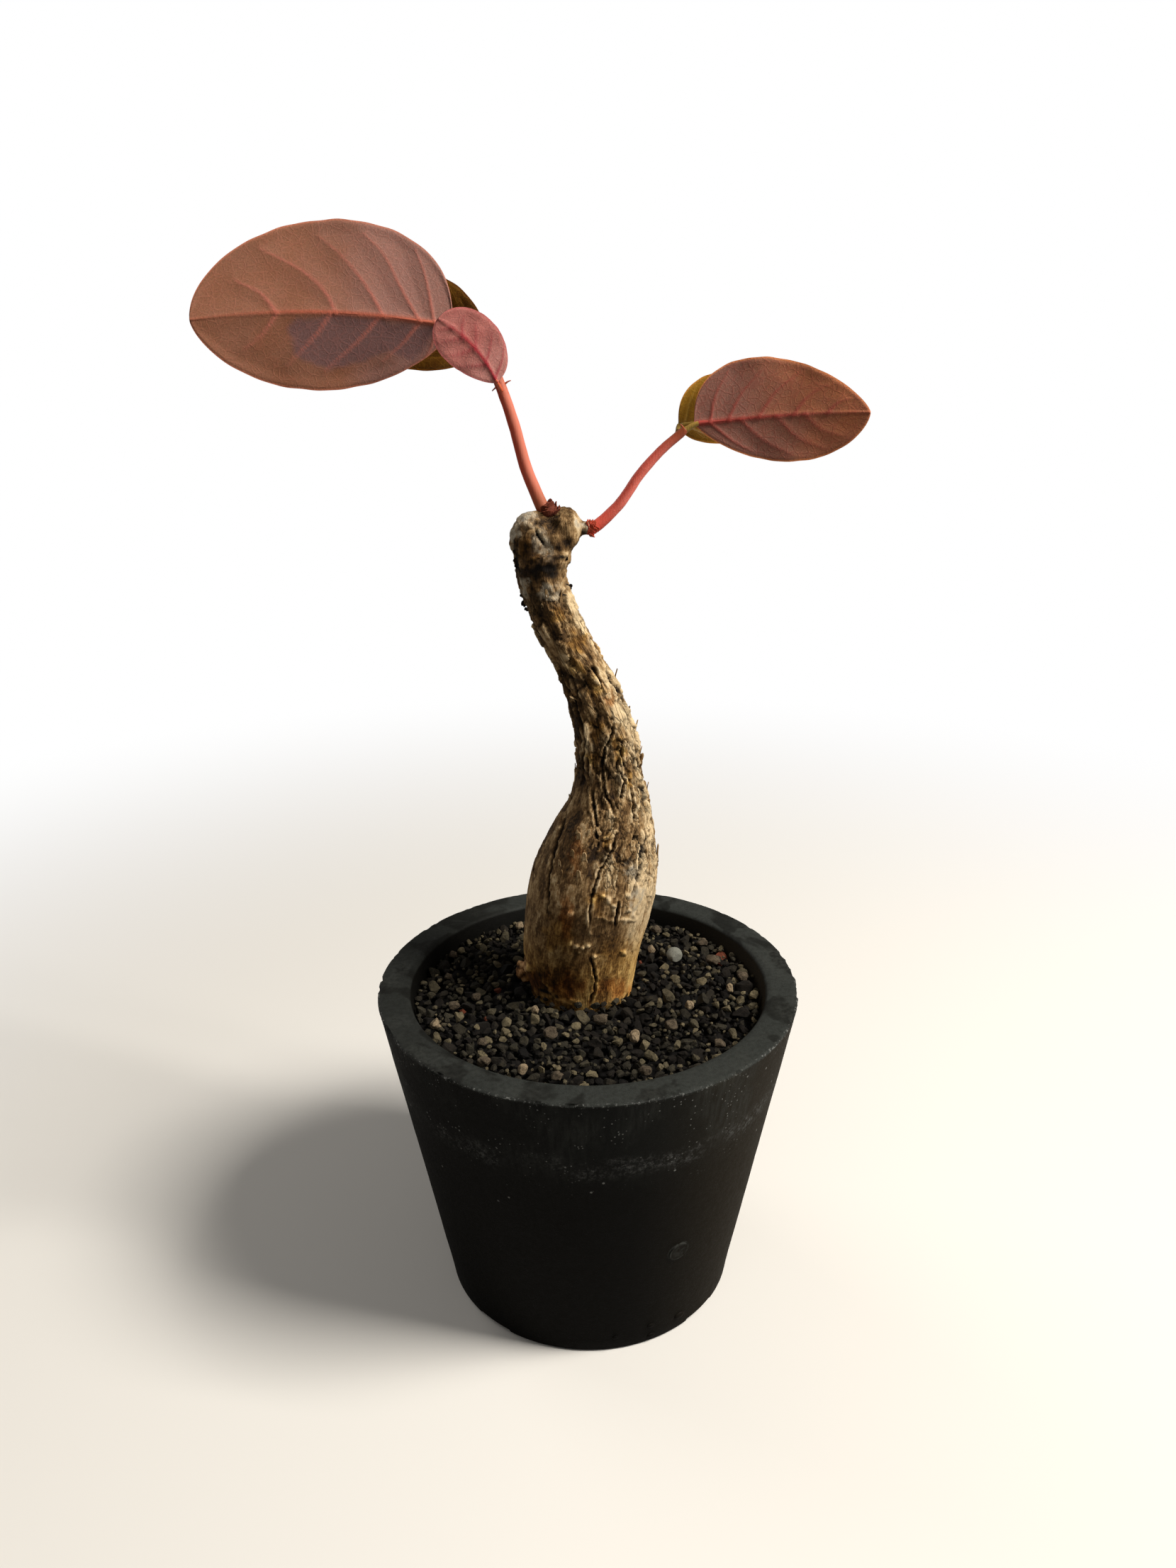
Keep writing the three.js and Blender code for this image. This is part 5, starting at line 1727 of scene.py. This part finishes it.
    def try_spot(self, ground, size):
        """A random spot for a grain of this size, and how high it would come to rest there."""
        far = (GRAIN_REACH - size * 0.5) * math.sqrt(random.random())
        turn = random.uniform(0, 2 * math.pi)
        spot = SimpleNamespace(x=far * math.cos(turn), y=far * math.sin(turn))
        rows = slice(*np.searchsorted(ground.line, (spot.x - size / 2, spot.x + size / 2)))
        columns = slice(*np.searchsorted(ground.line, (spot.y - size / 2, spot.y + size / 2)))
        off = np.hypot(ground.x[rows, columns] - spot.x, ground.y[rows, columns] - spot.y)
        near = off / (size / 2)
        spot.land = ground.land[rows, columns]
        spot.inside = near < 1
        spot.belly = np.where(spot.inside, 0.36 * size * np.sqrt(np.maximum(0, 1 - near**2)), -50)
        spot.seat = (spot.land + spot.belly)[spot.inside].max(initial=0)
        return spot

    def drop(self, settings, forms, crumbs):
        """Lets grains settle one by one, large ones first, each in the lowest of a few spots."""
        ground = self.ground()
        coarse, fine = [], []
        batches = [
            (settings.large, 3.0, 5.2, forms, coarse, 8), (settings.middle, 2.0, 3.0, forms, coarse, 12),
            (settings.small, 1.0, 2.0, crumbs, fine, 9),
        ]
        for count, smallest, largest, shapes, pile, tries in batches:
            for _ in range(count):
                size = smallest + (largest - smallest) * random.random() ** 1.8
                spots = [self.try_spot(ground, size) for _ in range(tries)]
                spot = min(spots, key=lambda spot: spot.seat)
                level = self.surface(math.hypot(spot.x, spot.y))
                if spot.seat > level + GRAIN_RISE:
                    continue
                top = np.maximum(spot.land, spot.seat + spot.belly * 0.9)
                spot.land[spot.inside] = top[spot.inside]
                # Painted shade: grains that sit lower than the surface are painted darker
                tone = min(0.88, max(0.0, random.gauss(0.42, 0.22) - 0.24 * (level - spot.seat)))
                if random.random() < 0.005:
                    tone = 1.0
                pile.append((random.choice(shapes), (spot.x, spot.y, spot.seat - size * 0.06), size, tone))
        return coarse, fine

    def merged(self, grains):
        """All the grains of one pile as a single mesh of separate closed shells."""
        shapes = {}
        places, faces, tones = [], [], []
        start = 0
        for form, place, size, tone in grains:
            if form.name not in shapes:
                shapes[form.name] = (corners(form), [tuple(p.vertices) for p in form.data.polygons])
            shape, sides = shapes[form.name]
            turn = Matrix.Rotation(random.uniform(0, 6.28), 3, "Z")
            spin = turn @ Matrix.Rotation(random.gauss(0, 0.35), 3, "X")
            places.append(shape @ np.array(spin).T * size + place)
            faces += [tuple(start + v for v in side) for side in sides]
            tones.append(np.full(len(shape), tone))
            start += len(shape)
        mesh = bpy.data.meshes.new("grains")
        mesh.from_pydata(np.vstack(places).tolist(), [], faces)
        piece = bpy.data.objects.new("grains", mesh)
        bpy.context.scene.collection.objects.link(piece)
        note(piece, "tone", np.concatenate(tones))
        return piece


class BONSAI_OT_bud_scales(bpy.types.Operator):
    """Sets the collars of old bud scales round the foot of each shoot"""

    bl_idname = "bonsai.bud_scales"
    bl_label = "Bud scales"

    def execute(self, context):
        settings = context.scene.bonsai_shoots
        random.seed(5)
        dark = scale_coat("Maroon bud scales", settings.maroon, settings.maroon_light)
        red = scale_coat("Red bud scales", settings.red, settings.red_light)
        self.collar("left_bud_cluster", LEFT_SHOOT, "left_bud_scales", "bud_scale_dark", dark)
        self.collar("right_bud_cluster", RIGHT_SHOOT, "right_bud_scales", "bud_scale_red", red)
        return {"FINISHED"}

    def scale_form(self):
        """One blunt pointed scale, hollow towards -Y, with its foot at 0 and its tip at 1 along Z."""
        scale = added(bpy.ops.mesh.primitive_grid_add, x_subdivisions=4, y_subdivisions=5, size=1.0)
        places = corners(scale)
        along = places[:, 1] + 0.5
        width = 0.46 * (1 - along**2.6) ** 0.6 + 0.02
        across = places[:, 0] * 2 * width
        bend = 0.18 * along**2 - 0.7 * across**2
        move_corners(scale, np.c_[across, bend, along])
        apply(scale, "SOLIDIFY", thickness=0.12, offset=0)
        return scale

    def core(self, foot, upright, radius):
        """The lumpy heart of a collar, which fills the gaps between its scales."""
        lump = added(bpy.ops.mesh.primitive_uv_sphere_add, segments=28, ring_count=18, radius=1.0)
        places = corners(lump)
        bumps = 1 + 0.16 * ripple(places, 0.4, 2, radius)
        shaped = places * (0.86 * radius, 0.86 * radius, 0.95 * radius) * bumps[:, None]
        move_corners(lump, shaped @ np.array(upright).T + np.array(foot))
        note(lump, "tip", 0.4 + 0.4 * ripple(places, 0.3, 2, 9))
        return lump

    def collar(self, name, stem, node, slot, coat):
        """Rows of scales round the foot of a stem, the upper ones closer in and more upright."""
        form = self.scale_form()
        shape = corners(form)
        radius, size, shift = stem["collar"]
        way = Vector(stem["path"][1]) - Vector(stem["path"][0])
        foot = Vector(stem["path"][0]) + Vector(shift)
        upright = way.to_track_quat("Z", "Y").to_matrix()
        made = [self.core(foot, upright, radius)]
        for row, (count, spread, rise, lean) in enumerate(COLLAR_ROWS):
            for i in range(count):
                turn = 2 * math.pi * (i + 0.5 * (row % 2)) / count + random.gauss(0, 0.14)
                length = size * random.uniform(0.75, 1.15)
                tilt = Matrix.Rotation(-math.radians(lean + random.gauss(0, 9)), 3, "X")
                spin = Matrix.Rotation(turn, 3, "Z")
                local = shape * (length * 1.7, length * 1.4, length) @ np.array(tilt).T
                local[:, 1] += radius * spread * random.uniform(0.7, 0.95)
                local[:, 2] += (rise + random.gauss(0, 0.12)) * size
                placed = local @ np.array(upright @ spin).T + np.array(foot)
                piece = duplicate(form)
                move_corners(piece, placed)
                note(piece, "tip", np.clip(shape[:, 2], 0, 1) * random.uniform(0.3, 1.3))
                made.append(piece)
        bpy.data.objects.remove(form)
        cluster = join(made)
        apply(cluster, "SUBSURF", levels=1, render_levels=1)
        bpy.ops.object.shade_smooth()
        settle(cluster, name, [node], [coat])


class BONSAI_OT_shoots(bpy.types.Operator):
    """Draws the two young red shoots with their stipules"""

    bl_idname = "bonsai.shoots"
    bl_label = "Shoots"

    def execute(self, context):
        s = context.scene.bonsai_shoots
        foot = tint(150, 84, 50)
        salmon = shoot_coat("Salmon shoot", s.brick, s.salmon, s.olive, foot, LEFT_SHOOT["coat"])
        self.shoot("salmon_shoot", LEFT_SHOOT, "left_shoot", "shoot_salmon", salmon)
        scarlet = shoot_coat("Scarlet shoot", s.crimson, s.scarlet, s.olive, s.crimson, RIGHT_SHOOT["coat"])
        self.shoot("scarlet_shoot", RIGHT_SHOOT, "right_shoot", "shoot_red", scarlet)
        return {"FINISHED"}

    def shoot(self, name, stem, node, slot, coat):
        """One shoot with the stipules that stand on it."""
        path = smooth_path(stem["path"], 60)
        radii = smooth_path(stem["radii"], 60)[:, 0]
        parts = [tube(path, radii, 5)]
        for entry in STIPULES:
            foot, tip = np.array(entry["foot"], float), np.array(entry["tip"], float)
            if np.linalg.norm(path - foot, axis=1).min() > 2.0:
                continue
            bend = (foot + tip) / 2 + (0, 0, 0.15)
            parts.append(tube(smooth_path([foot, bend, tip], 7), np.linspace(0.32, 0.08, 7), 1))
        piece = join(parts)
        places, outward = corners(piece), normals(piece)
        swell = 0.05 * ripple(places, (1.2, 1.2, 3), 2, 3) + 0.02 * ripple(places, 0.5, 2, 4)
        move_corners(piece, places + outward * swell[:, None])
        # Painted light and shade: how far each point faces the key light, for the shoot's lit and shaded
        # colours
        side = 0.5 + 0.5 * (outward @ np.array(Vector((0.75, -0.25, 0.45)).normalized()))
        note(piece, "side", side)
        bpy.ops.object.shade_smooth()
        settle(piece, name, [node], [coat])


class BONSAI_OT_leaves(bpy.types.Operator):
    """Spreads the five leaves with their veins, quilting and stalks"""

    bl_idname = "bonsai.leaves"
    bl_label = "Leaves"

    def execute(self, context):
        settings = context.scene.bonsai_leaves
        looks = self.looks(settings)
        brick = context.scene.bonsai_shoots.brick
        red = shoot_coat("Red leaf stalk", brick, tint(206, 118, 78), tint(178, 96, 56), brick, STALK_COAT)
        lit, top = tint(184, 150, 70), tint(150, 110, 40)
        olive = shoot_coat("Olive leaf stalk", tint(128, 92, 30), lit, top, brick, STALK_COAT)
        for name, leaf in LEAVES.items():
            coat = leaf_coat(name.replace("_", " "), looks[name])
            self.leaf(name, leaf, settings.rows, coat, olive if name.startswith("right") else red)
        return {"FINISHED"}

    def looks(self, s):
        """The tints and strengths of each leaf's material."""
        common = {
            "upper_a": s.bronze, "upper_b": tint(132, 84, 52), "far_leaf_shadow": tint(112, 82, 80), "net": 1.7,
            # The margin colours are partly a painted glow of light through the leaf edges
            "net_strength": 0.12, "vein_strength": 0.8, "margin": tint(214, 128, 98), "margin_strength": 0.6,
        }
        return {
            "left_large_leaf": {
                **common, "under_a": s.underside, "under_b": tint(134, 86, 61),
                "under_base": tint(149, 108, 97), "vein": tint(184, 106, 90), "midrib": tint(188, 98, 74),
            },
            "left_far_leaf": {
                **common, "under_a": s.underside, "under_b": s.brick, "under_base": tint(140, 110, 90),
                "upper_a": s.olive, "upper_b": tint(92, 56, 14), "vein": tint(150, 106, 36),
                "midrib": tint(160, 110, 40), "margin": tint(150, 90, 30), "net_strength": 0.25,
            },
            "left_small_leaf": {
                **common, "under_a": s.pink, "under_b": tint(190, 120, 110),
                "under_base": tint(192, 132, 122), "vein": tint(160, 60, 66), "midrib": tint(180, 50, 60),
                "margin": tint(206, 104, 104), "net_strength": 0.14,
            },
            "right_near_leaf": {
                **common, "under_a": s.brick, "under_b": tint(182, 112, 74), "under_base": tint(142, 99, 86),
                "vein": tint(158, 70, 60), "midrib": tint(168, 66, 56), "net_strength": 0.28,
                # This bright margin is partly a painted glow of light through the edge
                "margin": tint(246, 150, 88), "margin_strength": 0.8,
            },
            "right_far_leaf": {
                **common, "under_a": s.brick, "under_b": s.underside, "under_base": tint(150, 130, 80),
                "upper_a": tint(170, 124, 38), "upper_b": tint(132, 92, 22), "vein": tint(178, 140, 60),
                "midrib": tint(176, 140, 60), "margin": tint(226, 150, 60),
            },
        }

    def lie_of(self, leaf):
        """The blade's foot, its reach to the tip and its length, and the directions across and out of it."""
        foot = np.array(leaf["base"], float)
        reach = np.array(leaf["tip"], float) - foot
        length = np.linalg.norm(reach)
        along = reach / length
        face = np.array(leaf["facing"], float)
        face -= face @ along * along
        face /= np.linalg.norm(face)
        across = np.cross(face, along)
        if across[2] < 0:
            across = -across
        return SimpleNamespace(foot=foot, reach=reach, length=length, across=across, face=face)

    def half_width(self, leaf, share, side):
        """The distance from the midrib to the edge, above it or below it."""
        def profile(entry):
            width, base, tip = entry
            widest = base / (base + tip)
            peak = widest**base * (1 - widest) ** tip
            return width * share**base * (1 - share) ** tip / peak
        return np.where(side >= 0, profile(leaf["upper"]), profile(leaf["lower"]))

    def veins(self, leaf, length, reach, width):
        """How strong the midrib and side veins are at each point of the flat blade, and the nearest one."""
        flat = np.c_[reach, width]
        share = np.clip(reach / length, 0, 1)
        girth = 1.0 if length > YOUNG_BLADE else 0.6
        rib = np.exp(-((width / (girth * (0.5 - 0.3 * share))) ** 2)) * (1 - 0.4 * share)
        side = np.zeros(len(reach))
        nearest = np.abs(width)
        for line in leaf["veins"]:
            path = smooth_path(line, 12)
            gap, along = distance_to_line(flat, path)
            thick = 0.3 - 0.12 * along
            side = np.maximum(side, np.exp(-((gap / thick) ** 2)) * (1 - 0.6 * along))
            nearest = np.minimum(nearest, gap + 1.2 * ease(along, 0.75, 1.0))
        return rib, side, nearest

    def leaf(self, name, leaf, rows, coat, stalk_coat):
        """One leaf: its blade and its stalk in one piece."""
        lie = self.lie_of(leaf)
        blade = self.blade(leaf, lie, rows)
        self.note_blade(blade, leaf, lie)
        bpy.ops.object.shade_smooth()
        blade.data.materials.append(coat)
        coats = [coat, stalk_coat]
        piece = join([blade, self.stalk(leaf, lie, coats)])
        settle(piece, name + "_blade", [name], coats)

    def blade(self, leaf, lie, rows):
        """The blade as a solid: a grid drawn to the leaf's outline, bent, and given its thickness."""
        count = max(40, round(rows * lie.length / 52))
        lines = round(count * 0.62)
        blade = added(bpy.ops.mesh.primitive_grid_add, x_subdivisions=count, y_subdivisions=lines, size=2.0)
        grid = corners(blade)
        share = (1 - np.cos(np.pi * (grid[:, 0] + 1) / 2)) / 2
        share = np.clip(share, 0.0008, 0.9992)
        side = np.sin(np.pi / 2 * grid[:, 1])
        half = self.half_width(leaf, share, side)
        wavy = 1 + 0.004 * np.sin(share * 31 + side) + 0.003 * np.sin(share * 57 + 2)
        width = np.maximum(half * wavy, 0.12) * side
        to_edge = half * (1 - np.abs(side))
        move_corners(blade, self.bent(leaf, lie, share, side, width, to_edge))
        note(blade, "reach", share * lie.length)
        note(blade, "width", width)
        note(blade, "to_edge", to_edge)
        self.thicken(blade, to_edge)
        return blade

    def bent(self, leaf, lie, share, side, width, to_edge):
        """Where the flat blade's points go: along the curved midrib, folded and ruffled, with its relief."""
        rib, vein, nearest = self.veins(leaf, lie.length, share * lie.length, width)
        quilt = leaf["quilt"] * (1 - np.exp(-((nearest / 2.2) ** 2))) * ease(to_edge, 0.2, 3.0)
        toward = 1 if leaf["under"] else -1
        lift = toward * (0.3 * rib + 0.2 * vein - quilt)
        hump = 4 * share * (1 - share)
        fold = math.radians(leaf["fold"])
        ruffle = 0.35 * ease(np.abs(side), 0.4, 1.0) * np.sin(share * 17 + 1.5 * np.sign(side))
        rise = leaf["rise"] * hump + math.cos(fold) * width
        out = leaf["bow"] * hump - math.sin(fold) * np.abs(width) + lift + ruffle * hump * 0.7
        return lie.foot + share[:, None] * lie.reach + lie.across * rise[:, None] + lie.face * out[:, None]

    def thicken(self, blade, to_edge):
        """Gives the blade its thickness, which falls off at the edge."""
        margin = blade.vertex_groups.new(name="thickness")
        for i, weight in enumerate(0.3 + 0.7 * ease(to_edge, 0.0, 0.9)):
            margin.add([i], float(weight), "REPLACE")
        apply(
            blade, "SOLIDIFY", thickness=LEAF_THICKNESS, offset=0, vertex_group="thickness",
            thickness_vertex_group=0.0, use_even_offset=False,
        )
        blade.vertex_groups.clear()

    def note_blade(self, blade, leaf, lie):
        """Notes what the blade's material needs: which face shows, its veins, its edge and its tints."""
        reach, width, to_edge = (recall(blade, key) for key in ("reach", "width", "to_edge"))
        rib, vein, _ = self.veins(leaf, lie.length, reach, width)
        forward = normals(blade) @ lie.face > 0
        under = forward if leaf["under"] else ~forward
        flat = np.c_[reach, width, np.zeros(len(reach))]
        high, low = leaf["blush"]
        end = np.where(width > 0, high, low)
        share = reach / lie.length + 0.1 * ripple(flat, 7, 3, 5)
        note(blade, "blade", flat * MM, "FLOAT_VECTOR")
        note(blade, "blush", 0.9 * (1 - ease(share, 0.25 * end, end)))
        note(blade, "under", under)
        fading = 1 - 0.65 * ease(reach / lie.length, 0.45, 0.95)
        note(blade, "midrib", np.clip(rib * 1.15, 0, 1) * fading)
        note(blade, "vein", np.clip(vein * 1.25, 0, 1))
        note(blade, "margin", 1 - ease(to_edge, 0.0, 0.55))
        # Painted shadow of the far leaf, drawn inside its outline
        if "far_leaf_shadow" in leaf:
            drift = flat[:, :2] + np.c_[ripple(flat, 4, 2), ripple(flat, 4, 2, 1)] * 0.9
            gap, _ = distance_to_line(drift, leaf["far_leaf_shadow"])
            inside = self.within(drift, leaf["far_leaf_shadow"])
            note(blade, "far_leaf_shadow", ease(np.where(inside, gap, -gap), -0.6, 1.1) * under)

    def within(self, points, outline):
        """Which flat points lie inside a closed outline."""
        inside = np.zeros(len(points), bool)
        for (ax, ay), (bx, by) in zip(outline, outline[1:]):
            if ay == by:
                continue
            crosses = (points[:, 1] > ay) != (points[:, 1] > by)
            inside ^= crosses & (points[:, 0] < ax + (points[:, 1] - ay) * (bx - ax) / (by - ay))
        return inside

    def stalk(self, leaf, lie, coats):
        """The leaf's stalk, which runs on as the midrib and dies away in the blade."""
        toward = 1 if leaf["under"] else -1
        radius = 0.7 if lie.length > YOUNG_BLADE else 0.45
        spots = [(*leaf["stalk"], radius)]
        for share, girth in STALK_TAPER:
            hump = 4 * share * (1 - share)
            out = leaf["bow"] * hump + toward * (0.1 + 0.12 * share)
            place = lie.foot + share * lie.reach + lie.across * leaf["rise"] * hump + lie.face * out
            spots.append((*place, girth * radius))
        path = smooth_path(spots, 40)
        bar = tube(path[:, :3], path[:, 3], 3)
        ahead = (corners(bar) - lie.foot) @ (lie.reach / lie.length)
        note(bar, "side", np.full(len(ahead), 0.55))
        note(bar, "midrib", np.ones(len(ahead)))
        note(bar, "under", np.full(len(ahead), leaf["under"]))
        for material in coats:
            bar.data.materials.append(material)
        for polygon in bar.data.polygons:
            polygon.use_smooth = True
            polygon.material_index = int(ahead[polygon.vertices[0]] < 0.8)
        return bar


class BONSAI_PT_panel(bpy.types.Panel):
    """Lists the pieces of the bonsai and their settings"""

    bl_idname = "BONSAI_PT_panel"
    bl_label = "Bonsai"
    bl_space_type = "VIEW_3D"
    bl_region_type = "UI"
    bl_category = "Bonsai"

    def draw(self, context):
        for operator in OPERATORS:
            self.layout.operator(operator.bl_idname)
        for name, group in SETTINGS.items():
            box = self.layout.box()
            box.label(text=name.removeprefix("bonsai_").capitalize())
            for key in group.__annotations__:
                box.prop(getattr(context.scene, name), key)


SETTINGS = {
    "bonsai_stage": StageSettings,
    "bonsai_pot": PotSettings,
    "bonsai_grit": GritSettings,
    "bonsai_trunk": TrunkSettings,
    "bonsai_shoots": ShootSettings,
    "bonsai_leaves": LeafSettings,
}
OPERATORS = [
    BONSAI_OT_stage,
    BONSAI_OT_pot,
    BONSAI_OT_drainage,
    BONSAI_OT_grit,
    BONSAI_OT_trunk,
    BONSAI_OT_bud_scales,
    BONSAI_OT_shoots,
    BONSAI_OT_leaves,
]


def register():
    for group in SETTINGS.values():
        bpy.utils.register_class(group)
    for name, group in SETTINGS.items():
        setattr(bpy.types.Scene, name, PointerProperty(type=group))
    for operator in OPERATORS:
        bpy.utils.register_class(operator)
    bpy.utils.register_class(BONSAI_PT_panel)


def unregister():
    bpy.utils.unregister_class(BONSAI_PT_panel)
    for operator in reversed(OPERATORS):
        bpy.utils.unregister_class(operator)
    for name, group in SETTINGS.items():
        delattr(bpy.types.Scene, name)
        bpy.utils.unregister_class(group)


def main():
    register()
    bpy.ops.bonsai.stage()
    bpy.ops.bonsai.pot()
    bpy.ops.bonsai.drainage()
    bpy.ops.bonsai.grit()
    bpy.ops.bonsai.trunk()
    bpy.ops.bonsai.bud_scales()
    bpy.ops.bonsai.shoots()
    bpy.ops.bonsai.leaves()


if __name__ == "__main__":
    main()
